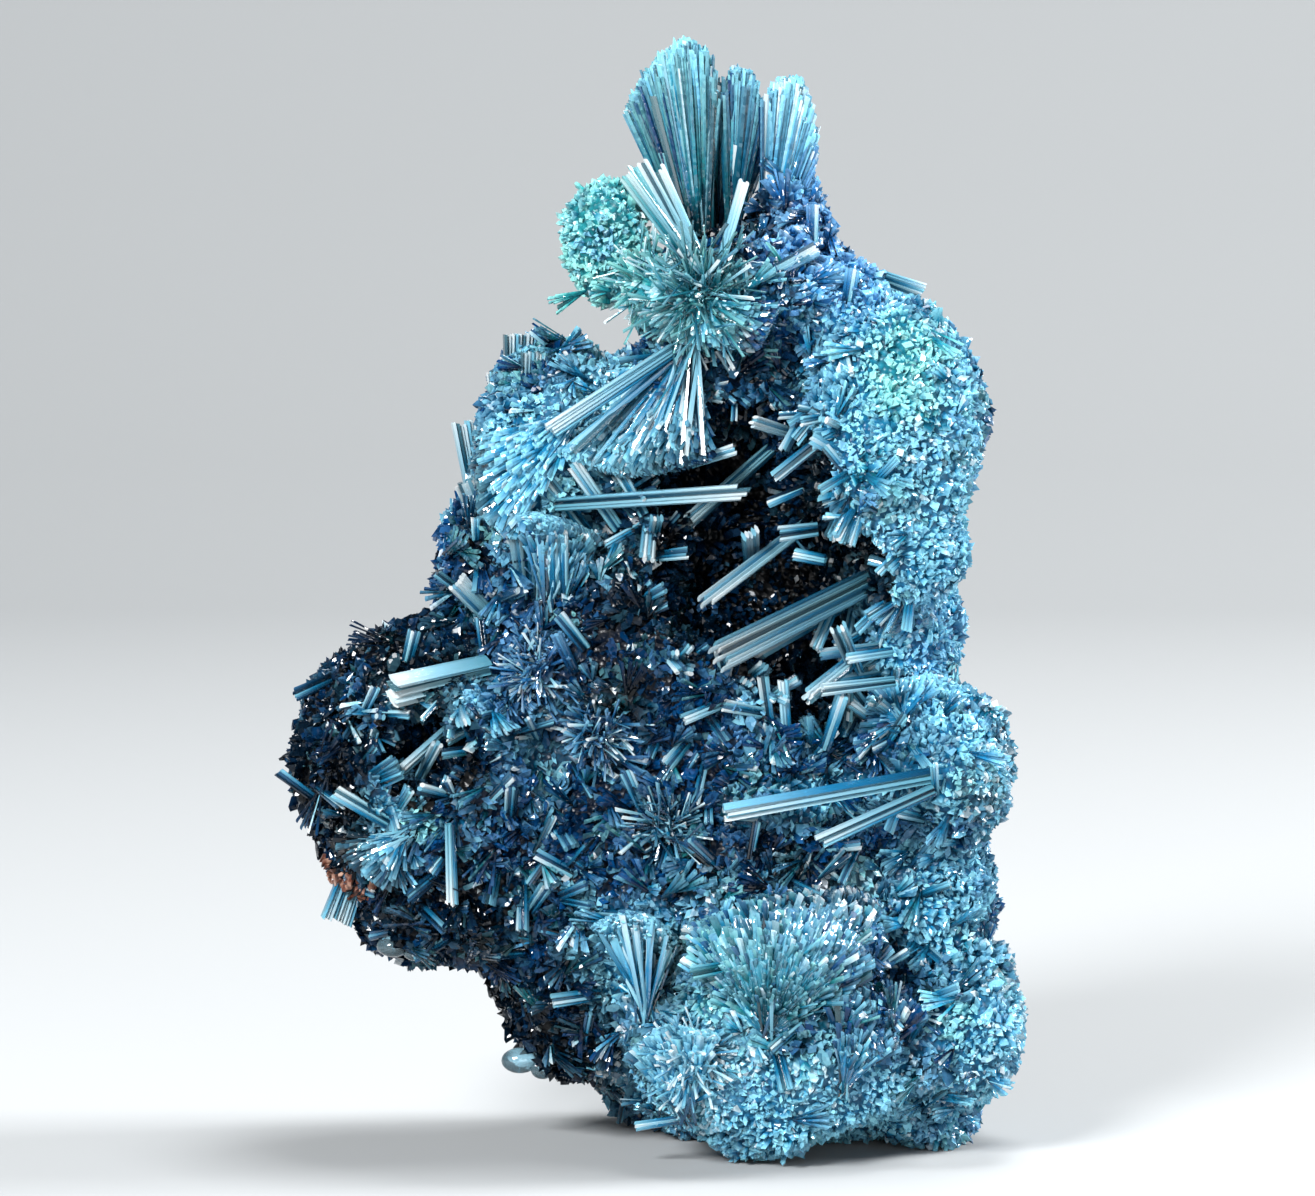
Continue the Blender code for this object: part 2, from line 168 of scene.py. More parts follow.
# Clear rounded crystals under the left lobe: centre (x, z) and half sizes.
NUBS = [
    ((-26.4, 20.6), (1.7, 1.4, 1.1)),
    ((-24.4, 20.0), (1.0, 1.0, 0.8)),
    ((-13.9, 8.4), (1.9, 1.4, 1.3)),
    ((-11.6, 7.6), (1.2, 1.1, 0.9)),
]

# Short blades by the mouth of the central hollow: root (x, z), tip (x, z), width, and how far the tip lies
# behind the lobes' display side.
FRINGE = [
    ((3.2, 69.2), (7.7, 70.7), 1.2, 0.0),
    ((15.4, 71.2), (11.2, 67.7), 1.4, 1.0),
    ((14.2, 66.7), (10.7, 65.2), 1.2, 2.0),
    ((15.7, 62.7), (11.7, 62.2), 1.6, 1.5),
    ((16.4, 59.7), (13.2, 60.2), 1.3, 1.0),
    ((14.2, 73.7), (12.2, 70.2), 1.2, 0.5),
    ((17.7, 55.7), (15.4, 50.7), 1.3, 0.0),
    ((19.2, 54.7), (18.0, 49.2), 1.3, -0.5),
    ((18.2, 55.2), (9.2, 50.9), 2.6, 1.0),
    ((21.7, 50.7), (15.7, 50.2), 1.2, 0.0),
    ((22.2, 47.9), (16.2, 47.5), 1.1, -0.6),
    ((21.2, 49.7), (14.2, 45.7), 1.1, -1.0),
    ((11.2, 41.7), (10.2, 48.7), 1.2, 0.0),
    ((12.7, 41.2), (12.2, 48.2), 1.1, -0.6),
    ((16.7, 41.7), (18.2, 46.7), 1.2, -0.8),
    ((19.2, 53.7), (18.7, 42.7), 1.0, -1.2),
    ((10.2, 44.7), (6.2, 45.7), 1.3, -0.5),
    ((6.2, 45.7), (2.2, 44.2), 1.2, -0.8),
    ((-12.8, 55.7), (-13.6, 64.0), 2.8, -1.2),
    ((-8.6, 56.0), (-6.6, 62.6), 2.2, -1.0),
    ((-9.6, 56.0), (-9.8, 62.8), 1.8, -1.4),
    ((-4.0, 62.6), (-8.6, 69.4), 1.5, -1.4),
    ((-6.5, 61.5), (-11.6, 68.4), 1.3, -1.0),
    ((-1.4, 64.0), (-4.6, 69.6), 1.3, -1.2),
]

# Crystals of the crusts that cross their hollow: root, tip, width.
CROSSING = {
    "vug_crust": [
        ((16.5, -4.0, 64.0), (4.0, -14.0, 55.4), 1.5),
        ((21.5, -8.0, 57.5), (5.2, -16.5, 50.2), 3.0),
        ((-0.5, -5.5, 66.5), (-1.2, -13.0, 59.6), 1.6),
        ((12.5, -1.0, 71.0), (0.5, -8.0, 61.0), 1.7),
        ((15.5, -6.0, 71.0), (9.0, -13.0, 73.5), 1.3),
        ((20.5, -5.0, 46.0), (17.5, -16.0, 53.6), 1.7),
        ((21.5, -6.0, 51.0), (14.5, -16.0, 46.5), 1.6),
        ((9.5, 0.5, 57.0), (9.0, -12.0, 62.5), 1.8),
        ((23.2, -13.0, 47.8), (15.9, -15.5, 47.2), 1.3),
        ((23.0, -11.5, 50.6), (18.4, -14.5, 50.2), 1.1),
        ((16.4, -12.0, 41.0), (18.2, -15.0, 46.9), 1.2),
    ],
    "side_vug_crust": [
        ((-20.0, -10.0, 43.5), (-25.4, -15.0, 39.0), 1.2),
        ((-24.0, -9.0, 37.2), (-21.6, -15.0, 42.0), 1.2),
    ],
}

# Where the crystals' tone changes over the cluster: tone, centre (x, z), half sizes, strength. The near-white tone
# is partly the crystals' own white and partly painted glints.
BLOOMS = [
    ("pale", (1.0, 108.0), (6, 6), 1.0),
    ("pale", (12.6, 104.0), (5, 6), 1.0),
    ("pale", (24.0, 75.0), (9, 13), 1.0),
    ("pale", (21.5, 60.0), (6, 7), 1.0),
    # Paler down the right edge: partly the lobe's own pale colour, partly painted rim light.
    ("pale", (28.0, 62.0), (6, 14), 1.0),
    ("pale", (28.0, 50.0), (7, 9), 1.0),
    ("pale", (30.5, 39.0), (7, 8), 0.75),
    ("pale", (27.5, 27.0), (7, 7), 0.7),
    ("pale", (32.6, 12.0), (6, 9), 0.88),
    ("pale", (14.0, 5.5), (20, 7), 1.0),
    ("pale", (5.0, 9.5), (8, 8), 1.0),
    ("pale", (11.0, 21.5), (10, 8), 0.3),
    ("pale", (-2.0, 19.7), (6, 6), 0.9),
    ("pale", (-16.0, 76.5), (5, 5), 0.6),
    ("pale", (-13.0, 68.5), (7, 7), 1.0),
    ("pale", (-5.0, 73.0), (8, 6), 1.0),
    ("pale", (-8.0, 61.0), (5, 4), 0.7),
    ("pale", (3.0, 85.5), (6, 4), 0.6),
    ("pale", (-6.0, 90.0), (5, 6), 1.0),
    ("pale", (20.0, 84.0), (7, 4), 0.8),
    ("pale", (15.0, 46.0), (7, 5), 0.5),
    ("pale", (16.0, 35.5), (9, 3), 0.6),
    ("pale", (-22.0, 46.5), (5, 3), 0.8),
    ("pale", (-27.0, 33.0), (4, 5), 0.8),
    ("pale", (-13.0, 41.5), (4, 4), 0.4),
    ("pale", (14.0, 103.0), (4, 7), 1.0),
    ("green", (-6.0, 90.0), (7, 9), 1.0),
    ("green", (24.5, 78.5), (4, 5), 0.7),
    ("green", (10.0, 20.0), (9, 7), 0.35),
    ("green", (2.0, 102.0), (6, 8), 0.35),
    ("green", (8.0, 100.0), (3, 6), 0.2),
    ("green", (3.0, 85.5), (6, 5), 0.5),
    ("violet", (13.5, 92.0), (4, 4), 0.9),
    ("violet", (18.0, 87.0), (5, 4), 0.6),
    ("violet", (27.6, 50.0), (5, 6), 0.25),
    ("violet", (15.0, 24.0), (7, 5), 0.15),
    ("violet", (-12.0, 48.7), (4, 4), 0.7),
    ("violet", (-6.0, 42.7), (4, 3), 0.5),
    ("dark", (3.0, 60.0), (11, 12), 0.9),
    ("dark", (-26.0, 50.0), (10, 6), 0.9),
    ("dark", (-33.0, 36.0), (5, 16), 1.0),
    # Darker over the side hollow: painted shade.
    ("dark", (-22.0, 40.5), (6, 4), 1.0),
    ("dark", (-22.0, 24.0), (12, 6), 0.9),
    ("dark", (-13.0, 11.0), (10, 9), 1.0),
    ("dark", (-6.0, 47.0), (9, 8), 0.7),
    ("dark", (0.0, 33.0), (12, 5), 0.6),
    ("dark", (-18.0, 63.5), (2, 8), 0.7),
    ("dark", (5.5, 92.5), (7, 4.5), 0.9),
    ("dark", (9.0, 78.0), (6, 3), 0.5),
    ("dark", (31.6, 37.5), (2.5, 3.5), 0.5),
    ("dark", (14.0, 30.0), (9, 4), 0.7),
    ("dark", (1.2, 19.0), (2.0, 4.5), 0.8),
    ("white_and_glint", (-1.8, 19.5), (1.6, 5), 0.5),
    ("white_and_glint", (-5.5, 6.2), (3.5, 2.5), 0.35),
    ("white_and_glint", (6.5, 12.0), (4, 3.5), 0.4),
    ("white_and_glint", (5.0, 6.0), (3, 2.5), 0.3),
    ("white_and_glint", (16.0, 8.5), (4, 2.5), 0.25),
    ("white_and_glint", (18.5, 26.5), (4.5, 2.5), 0.35),
    ("white_and_glint", (34.5, 15.0), (2, 7), 0.35),
    ("white_and_glint", (29.0, 7.0), (3, 3), 0.25),
    ("white_and_glint", (33.0, 39.5), (2.5, 5), 0.25),
    # Whiter on the right edge here: painted rim light.
    ("white_and_glint", (27.0, 70.0), (3, 8), 0.15),
    ("white_and_glint", (20.0, 62.0), (4, 4), 0.2),
    ("white_and_glint", (14.0, 104.0), (3, 6), 0.6),
    ("white_and_glint", (1.0, 108.0), (4, 3), 0.25),
    ("white_and_glint", (-4.0, 74.0), (6, 4), 0.3),
    ("white_and_glint", (-6.5, 43.0), (4, 3), 0.2),
    ("white_and_glint", (-2.0, 84.0), (4, 2.5), 0.3),
]


# Small helpers.


def linear(hex_colour):
    """A linear RGBA from an sRGB hex value."""
    parts = [int(hex_colour[i : i + 2], 16) / 255 for i in (1, 3, 5)]
    return (*[c / 12.92 if c <= 0.04045 else ((c + 0.055) / 1.055) ** 2.4 for c in parts], 1.0)


def object_from(bm, name):
    """A new object that holds the bmesh."""
    mesh = bpy.data.meshes.new(name)
    bm.to_mesh(mesh)
    bm.free()
    obj = bpy.data.objects.new(name, mesh)
    bpy.context.scene.collection.objects.link(obj)
    return obj


def settle(obj):
    """Puts the result of the object's modifiers in its mesh."""
    bpy.context.view_layer.update()
    graph = bpy.context.evaluated_depsgraph_get()
    mesh = bpy.data.meshes.new_from_object(obj.evaluated_get(graph))
    obj.modifiers.clear()
    obj.data = mesh


def rounded(bm, centre, half_sizes, subdivisions=3, less=0.0):
    """Adds an ellipsoid, with each half size smaller by less."""
    place = Matrix.Translation(Vector(centre) * MM)
    size = Matrix.Diagonal([(half - less) * MM for half in half_sizes] + [1])
    bmesh.ops.create_icosphere(bm, subdivisions=subdivisions, radius=1.0, matrix=place @ size)


def display_depth(x, z):
    """Y of the lobes' display side at (x, z), or of the cluster's middle where no lobe is."""
    depths = [0.0]
    for centre, half in LOBES.values():
        across = ((x - centre[0]) / half[0]) ** 2 + ((z - centre[2]) / half[2]) ** 2
        if across < 1:
            depths.append(centre[1] - half[1] * math.sqrt(1 - across))
    return min(depths)


def hollow_depth(points, name):
    """How deep each point is in the hollow as a share of its size: over 0 inside it."""
    deepest = np.full(len(points), -1e9)
    for centre, half in HOLLOWS[name]:
        away = np.linalg.norm((points - np.array(centre)) / np.array(half), axis=1)
        deepest = np.maximum(deepest, 1 - away)
    return deepest


def lobe_depth(points):
    """How far each point is inside the lobes, in millimetres, near their surface."""
    deepest = np.full(len(points), -1e9)
    for centre, half in LOBES.values():
        half = np.array(half, float)
        away = np.linalg.norm((points - np.array(centre)) / half, axis=1)
        deepest = np.maximum(deepest, (1 - away) * half.min())
    return deepest


# The crystal shapes. A template's columns are x, y, z along the crystal, and how much of the crystal's
# width is added along it, so that an end keeps its angle on a long crystal and on a short one.


def prism_shape(sides, taper=0.85, peak=0.0, slant=0.0):
    """One prism of unit width and length: its corners and its faces. With a peak its end is pointed."""
    bm = bmesh.new()
    bmesh.ops.create_cone(bm, cap_ends=True, segments=sides, radius1=taper / 2, radius2=0.5, depth=1.0)
    bmesh.ops.translate(bm, verts=bm.verts, vec=(0, 0, 0.5))
    end = max(bm.faces, key=lambda face: face.calc_center_median().z)
    rim = list(end.verts)
    if peak:
        bmesh.ops.poke(bm, faces=[end], offset=0.0)
    bm.verts.index_update()
    corners = np.array([(*vertex.co, 0.0) for vertex in bm.verts])
    low = [vertex.index for vertex in rim]
    corners[low, 3] = -peak
    corners[low, 3] += slant * corners[low, 0] - slant / 2
    faces = [[vertex.index for vertex in face.verts] for face in bm.faces]
    bm.free()
    return corners, faces


def unit(vectors):
    return vectors / np.maximum(np.linalg.norm(vectors, axis=1, keepdims=True), 1e-9)


def grown(name, shape, roots, ways, widths, lengths, flats, dice, tones, sides=None):
    """One mesh with a copy of the shape at each root, along each way, with its tones in attributes."""
    corners, faces = shape
    count, per = len(roots), len(corners)
    ways = unit(ways)
    side = unit(np.cross(ways, dice.normal(size=(count, 3)))) if sides is None else unit(sides)
    other = np.cross(ways, side)
    along = corners[None, :, 2] * lengths[:, None] + corners[None, :, 3] * widths[:, None]
    points = (
        roots[:, None, :]
        + side[:, None, :] * (corners[None, :, 0] * widths[:, None])[..., None]
        + other[:, None, :] * (corners[None, :, 1] * (widths * flats)[:, None])[..., None]
        + ways[:, None, :] * along[..., None]
    )
    points[..., 2] = np.maximum(points[..., 2], FLOOR_CLEAR)
    ids = (np.arange(count) * per)[:, None] + np.concatenate(faces)[None, :]
    totals = np.tile([len(face) for face in faces], count)
    starts = np.concatenate([[0], np.cumsum(totals)[:-1]])
    mesh = bpy.data.meshes.new(name)
    mesh.vertices.add(count * per)
    mesh.vertices.foreach_set("co", (points * MM).astype(np.float32).ravel())
    mesh.loops.add(ids.size)
    mesh.loops.foreach_set("vertex_index", ids.astype(np.int32).ravel())
    mesh.polygons.add(len(totals))
    mesh.polygons.foreach_set("loop_start", starts.astype(np.int32))
    mesh.update(calc_edges=True)
    mesh.shade_flat()
    paint(mesh, np.tile(corners[:, 2], count), {key: np.repeat(tones[key], per) for key in tones})
    obj = bpy.data.objects.new(name, mesh)
    bpy.context.scene.collection.objects.link(obj)
    return obj


def paint(mesh, tip, tones):
    """Stores how near each point is to a crystal's tip, and its tones, as attributes of the mesh."""
    layers = {
        "growth": (tip, tones["dark"], tones["white_and_glint"]),
        "tone": (tones["pale"], tones["green"], tones["violet"]),
    }
    for name, values in layers.items():
        layer = mesh.attributes.new(name, "FLOAT_VECTOR", "POINT")
        layer.data.foreach_set("vector", np.stack(values, axis=1).astype(np.float32).ravel())


def bloomed(points):
    """The smooth tones of these places."""
    found = {key: np.zeros(len(points)) for key in ("pale", "green", "violet", "dark", "white_and_glint")}
    for key, (x, z), (rx, rz), strength in BLOOMS:
        away = ((points[:, 0] - x) / rx) ** 2 + ((points[:, 2] - z) / rz) ** 2
        found[key] = np.maximum(found[key], strength * np.exp(-0.7 * away**2))
    return found


def tones_at(points, dice, patch=None):
    """The tones of single crystals at these places, varied from one to the next and between patches."""
    found = bloomed(points)
    for key in ("pale", "green", "violet", "dark"):
        vary = dice.normal(0, 0.13, len(points))
        if patch is not None:
            vary += dice.normal(0, 0.2, patch.max() + 1)[patch]
        found[key] = np.clip(found[key] + vary - 0.1 * (1 - found[key]), 0, 1)
    # A few crystals at random, more where the near-white tone is laid, are made near white: partly white crystals,
    # partly painted glints.
    share = 0.045 * (1 - 0.7 * found["dark"]) + found["white_and_glint"]
    found["white_and_glint"] = np.where(dice.random(len(points)) < share, dice.uniform(0.1, 0.75, len(points)), 0.0)
    return found


# The core and the places where crystals grow on it.


def remeshed(obj, grain):
    skin = obj.modifiers.new("skin", "REMESH")
    skin.mode = "VOXEL"
    skin.voxel_size = grain * MM
    settle(obj)


def grown_core():
    """The shadowed inside of the cluster, a little inside the grown surface, with its hollows and flat foot."""
    bm = bmesh.new()
    for centre, half in LOBES.values():
        rounded(bm, centre, half)
    core = object_from(bm, "indicolite_core")
    remeshed(core, CORE_GRAIN)
    bm = bmesh.new()
    bm.from_mesh(core.data)
    for _ in range(5):
        bmesh.ops.smooth_vert(bm, verts=bm.verts, factor=0.5, use_axis_x=True, use_axis_y=True,
                              use_axis_z=True)
    bm.normal_update()
    for vertex in bm.verts:
        out = sum(height * noise.noise(vertex.co / (size * MM)) for size, height in LUMPS)
        vertex.co += vertex.normal * (out - CORE_DEPTH) * MM
    bm.to_mesh(core.data)
    bm.free()
    for name, parts in HOLLOWS.items():
        bm = bmesh.new()
        for centre, half in parts:
            rounded(bm, centre, half)
        cutter = object_from(bm, name + "_space")
        remeshed(cutter, CORE_GRAIN)
        cut = core.modifiers.new("hollow", "BOOLEAN")
        cut.operation = "DIFFERENCE"
        cut.object = cutter
        cut.solver = "EXACT"
        settle(core)
        bpy.data.objects.remove(cutter)
    bm = bmesh.new()
    bm.from_mesh(core.data)
    everything = [*bm.verts, *bm.edges, *bm.faces]
    below = bmesh.ops.bisect_plane(bm, geom=everything, plane_co=(0, 0, FLOOR_CLEAR * MM),
                                   plane_no=(0, 0, 1), clear_inner=True)
    rim = [item for item in below["geom_cut"] if isinstance(item, bmesh.types.BMEdge)]
    bmesh.ops.contextual_create(bm, geom=rim)
    bm.to_mesh(core.data)
    bm.free()
    places = np.array([vertex.co for vertex in core.data.vertices]) / MM
    paint(core.data, np.full(len(places), 0.25), bloomed(places))
    return core


def crust_wall(name):
    """The wall of one hollow's crust: a shell inside the hollow, open towards the display side, painted darkest all
    over as shade in the hollow.
    """
    bm = bmesh.new()
    for centre, half in HOLLOWS[name]:
        rounded(bm, centre, half, less=GAP)
    wall = object_from(bm, name + "_wall")
    remeshed(wall, CORE_GRAIN)
    bm = bmesh.new()
    bm.from_mesh(wall.data)
    middles = np.array([face.calc_center_median() for face in bm.faces]) / MM
    outside = [face for face, depth in zip(bm.faces, lobe_depth(middles)) if depth < 1.2]
    bmesh.ops.delete(bm, geom=outside, context="FACES")
    bmesh.ops.reverse_faces(bm, faces=bm.faces)
    bmesh.ops.solidify(bm, geom=bm.faces, thickness=1.0 * MM)
    bmesh.ops.recalc_face_normals(bm, faces=bm.faces)
    bm.to_mesh(wall.data)
    bm.free()
    places = np.array([vertex.co for vertex in wall.data.vertices]) / MM
    tones = bloomed(places)
    # Painted shade: the whole wall of the hollow is made darkest.
    tones["dark"][:] = 1.0
    paint(wall.data, np.full(len(places), 0.2), tones)
    return wall


def spots_on(obj, count, dice, thin_back=1.0, dense_pale=0.0):
    """Places spread at random over the object's faces, and their normals, in millimetres."""
    mesh = obj.data
    mesh.calc_loop_triangles()
    points = np.empty(len(mesh.vertices) * 3)
    mesh.vertices.foreach_get("co", points)
    points = points.reshape(-1, 3) / MM
    ids = np.empty(len(mesh.loop_triangles) * 3, np.int32)
    mesh.loop_triangles.foreach_get("vertices", ids)
    a, b, c = (points[ids.reshape(-1, 3)[:, i]] for i in range(3))
    normals = np.cross(b - a, c - a)
    areas = np.maximum(np.linalg.norm(normals, axis=1) / 2, 1e-9)
    odds = areas * np.where(a[:, 1] > BACK, thin_back, 1.0)
    odds *= 1 + dense_pale * bloomed(a)["pale"]
    chosen = dice.choice(len(areas), size=count, p=odds / odds.sum())
    u, v = dice.random(count), dice.random(count)
    over = u + v > 1
    u[over], v[over] = 1 - u[over], 1 - v[over]
    places = a[chosen] + (b - a)[chosen] * u[:, None] + (c - a)[chosen] * v[:, None]
    return places, normals[chosen] / (2 * areas[chosen])[:, None]


def patches(places, spacing, dice):
    """The patch that each place grows in, the way to it from the patch's middle, and the middles."""
    grid, middles = {}, []
    cells = (places // spacing).astype(int)
    around = [(i, j, k) for i in (-1, 0, 1) for j in (-1, 0, 1) for k in (-1, 0, 1)]
    for i in dice.permutation(len(places)):
        x, y, z = cells[i]
        near = [j for dx, dy, dz in around for j in grid.get((x + dx, y + dy, z + dz), ())]
        if all(math.dist(places[i], places[j]) > spacing for j in near):
            grid.setdefault((x, y, z), []).append(i)
            middles.append(i)
    tree = KDTree(len(middles))
    for number, i in enumerate(middles):
        tree.insert(places[i], number)
    tree.balance()
    owner = np.array([tree.find(place)[1] for place in places])
    return owner, places - places[np.array(middles)[owner]], np.array(middles)


def region_of(places):
    """The named region of each place."""
    x, y, z = places.T
    names = np.full(len(places), "display", dtype="<U12")
    names[(x < -12) & (z < 58)] = "left_lobe"
    names[z > 76] = "crown_foot"
    names[(x > 14) & (z <= 76) & (z > 30)] = "right_lobes"
    names[(z <= 30) & (x >= -12)] = "apron"
    names[y > BACK] = "back"
    return names


def outside_hollows(places):
    deepest = np.maximum(hollow_depth(places, "vug_crust"), hollow_depth(places, "side_vug_crust"))
    return deepest < -0.03


def druse(core, finish, dice):
    """The fine crystals over the whole of the core, in patches that each lean their own way."""
    places, normals = spots_on(core, DRUSE_COUNT, dice, THIN_BACK, DENSE_PALE)
    keep = (outside_hollows(places) | (lobe_depth(places) < 1.8)) & (places[:, 2] > 0.5)
    places, normals = places[keep], normals[keep]
    owner, out, middles = patches(places, PATCH, dice)
    tones = tones_at(places, dice, owner)
    coarse = 1 - np.clip(np.maximum(tones["pale"], tones["green"]), 0, 1)
    lean = dice.normal(0, 1.0, (len(middles), 3))[owner] * (0.5 + 0.5 * coarse)[:, None]
    ways = unit(normals + lean) + 0.35 * normals + 0.35 * out / PATCH + dice.normal(0, 0.2, places.shape)
    stand = np.abs(dice.normal(0.35, 0.4, len(middles)))[owner] * (0.5 + 0.7 * coarse)
    stand += np.abs(dice.normal(0.3, 0.2, len(places)))
    stand *= 1 - 0.35 * tones["dark"]
    widths = (0.66 + 0.4 * coarse + 0.45 * tones["dark"]) * dice.lognormal(0, 0.3, len(places))
    widths *= np.where(places[:, 1] > BACK, 1.35, 1.0)
    flats = dice.uniform(0.45, 1.0, len(places))
    roots = places - unit(ways) * 0.6
    regions = region_of(places)
    pointed = dice.random(len(places)) < 0.3
    kinds = {
        "blocky": (prism_shape(4, taper=0.8, slant=0.6), ~pointed),
        "pointed": (prism_shape(3, taper=0.8, peak=0.45), pointed),
    }
    for region in np.unique(regions):
        for kind, (shape, of_kind) in kinds.items():
            rows = (regions == region) & of_kind
            piece = grown(
                f"{region}_{kind}_druse", shape, roots[rows], ways[rows], widths[rows], stand[rows] + 0.6,
                flats[rows], dice, {key: values[rows] for key, values in tones.items()},
            )
            dress(piece, finish, "indicolite", "indicolite_mass")


def surface_fans(core, finish, dice):
    """Small fans of fine laths that lie over the druse of the display side."""
    places, normals = display_spots(core, FAN_COUNT, dice)
    fans = len(places)
    flow = unit(np.cross(normals, dice.normal(size=(fans, 3))))
    reach = dice.uniform(1.8, 4.8, fans)
    own = np.repeat(np.arange(fans), LATHS_IN_FAN)
    spread = dice.uniform(-0.6, 0.6, len(own)) * dice.uniform(0.3, 1.0, fans)[own]
    rise = dice.uniform(0.0, 0.4, fans)[own] + dice.normal(0, 0.08, len(own))
    across = np.cross(normals, flow)
    ways = (
        flow[own] * np.cos(spread)[:, None]
        + across[own] * np.sin(spread)[:, None]
        + normals[own] * rise[:, None]
    )
    roots = places[own] + normals[own] * dice.uniform(0.0, 0.9, (len(own), 1))
    tones = tones_at(places[own], dice, own)
    bright = dice.uniform(-0.5, 0.25, fans)[own]
    tones["pale"] = np.clip(tones["pale"] + bright, 0, 1)
    tones["dark"] *= 0.85 - 0.6 * np.clip(bright, 0, 1)
    lengths = reach[own] * dice.uniform(0.75, 1.0, len(own))
    widths = dice.uniform(0.25, 0.55, len(own))
    flats = dice.uniform(0.35, 0.7, len(own))
    shape = prism_shape(4, taper=0.45, slant=0.4)
    piece = grown("surface_fans", shape, roots, ways, widths, lengths, flats, dice, tones,
                  sides=np.cross(normals[own], ways))
    dress(piece, finish, "indicolite", "indicolite_mass")


def display_spots(core, count, dice):
    """Places on the display side, off the hollows, and the normals there."""
    places, normals = spots_on(core, count * 10, dice)
    tones = bloomed(places)
    rough = 1.1 - tones["pale"] - 0.55 * tones["dark"]
    keep = outside_hollows(places) & (places[:, 2] > 3) & (normals[:, 1] < -0.45) & (places[:, 1] < BACK)
    keep &= dice.random(len(places)) < rough
    return places[keep][:count], normals[keep][:count]


def strewn(core, finish, dice):
    """Short blades, each of a few laths, that lie about over the display side."""
    places, normals = display_spots(core, STREWN_COUNT, dice)
    flow = unit(np.cross(normals, dice.normal(size=places.shape)))
    reach = dice.uniform(2.0, 5.5, (len(places), 1))
    roots = places + normals * 0.2
    tips = roots + flow * reach + normals * reach * dice.uniform(0.05, 0.35, (len(places), 1))
    piece = bundles("strewn_blades", roots, tips, dice.uniform(0.7, 1.6, len(places)), dice, 0.12)
    dress(piece, finish, "indicolite", "indicolite_mass")


def shards(core, finish, dice):
    """Broad flat crystals that stand between the finer ones on the rougher parts."""
    places, normals = spots_on(core, SHARD_COUNT * 6, dice)
    tones = bloomed(places)
    keep = outside_hollows(places) & (places[:, 2] > 2)
    keep &= dice.random(len(places)) < 0.75 - 0.6 * tones["pale"]
    places, normals = places[keep][:SHARD_COUNT], normals[keep][:SHARD_COUNT]
    count = len(places)
    ways = unit(normals + dice.normal(0, 0.6, places.shape))
    tones = tones_at(places, dice)
    tones["pale"] = np.clip(tones["pale"] + dice.normal(-0.05, 0.2, count), 0, 1)
    tones["white_and_glint"] *= 0.2
    piece = grown("shards", prism_shape(6, taper=0.8, slant=0.5), places - ways * 0.8, ways,
                  dice.uniform(1.0, 2.3, count), dice.uniform(1.2, 2.4, count), dice.uniform(0.25, 0.7, count),
                  dice, tones)
    dress(piece, finish, "indicolite", "indicolite_mass")


def bursts(finish, dice):
    """Needles that radiate from one place towards the display side."""
    for name, ((x, z), reach, count, brightness) in BURSTS.items():
        ways = dice.normal(size=(count, 3))
        ways[:, 1] = -np.abs(ways[:, 1]) * 0.4
        ways = unit(ways)
        middle = np.array([x, display_depth(x, z) + 0.2 * reach, z])
        roots = middle + ways * 0.15 * reach + dice.normal(0, 0.22 * reach, (count, 3))
        lengths = reach * dice.uniform(0.35, 0.9, count)
        tones = tones_at(roots, dice)
        tones["pale"] = np.clip(dice.normal(brightness, 0.3, count), 0, 1)
        # Some needles, more in the brighter bursts, are near white: partly painted glints.
        tones["white_and_glint"] = np.where(dice.random(count) < 0.4 * brightness, 0.8, 0.0)
        tones["dark"] *= 0.4
        widths = dice.uniform(0.18, 0.5, count)
        piece = grown(name, prism_shape(5, taper=0.5, slant=0.4), roots, ways, widths, lengths,
                      dice.uniform(0.5, 0.9, count), dice, tones)
        dress(piece, finish, "indicolite", "indicolite_mass")


def rim_blades(core, finish, dice):
    """Short blades round the mouths of the hollows, which lean out over them."""
    for name, parts in HOLLOWS.items():
        places, normals = spots_on(core, 30000, dice)
        depth = hollow_depth(places, name)
        near = (depth > -0.16) & (depth < -0.01) & (lobe_depth(places) < 2.5)
        places, normals = places[near], normals[near]
        count = min(len(places), RIM_COUNT[name])
        places, normals = places[:count], normals[:count]
        middles = np.array([centre for centre, _ in parts], float)
        owner = np.argmin(np.linalg.norm(places[:, None, :] - middles[None], axis=2), axis=1)
        inward = middles[owner] - places
        inward[:, 1] = 0
        flow = unit(inward) + dice.normal(0, 0.75, places.shape)
        reach = dice.uniform(1.6, 4.4, (count, 1))
        tips = places + unit(flow) * reach + normals * dice.uniform(-0.2, 0.9, (count, 1))
        piece = bundles(name + "_rim_blades", places - normals * 0.4, tips, dice.uniform(0.6, 1.5, count), dice, 0.2)
        dress(piece, finish, "indicolite", "indicolite_mass")


def stained_patch(core, finish, dice):
    """The iron-stained crystals low on the left lobe."""
    places, normals = spots_on(core, 60000, dice)
    x, y, z = places.T
    away = ((x + 31.5) / 3.2) ** 2 + ((z - 27.4 + 0.35 * (x + 31.5)) / 1.7) ** 2
    keep = (away < dice.uniform(0.4, 1.1, len(places))) & (normals[:, 1] < 0.2)
    places, normals = places[keep], normals[keep]
    ways = normals + dice.normal(0, 0.5, places.shape)
    count = len(places)
    tones = {key: dice.random(count) for key in ("pale", "green", "violet", "dark", "white_and_glint")}
    piece = grown("stained_patch", prism_shape(5, slant=0.5), places - normals * 0.4, ways,
                  dice.uniform(0.5, 1.2, count), dice.uniform(1.0, 1.9, count), dice.uniform(0.5, 1, count),
                  dice, tones)
    dress(piece, finish, "indicolite", "indicolite_mass")


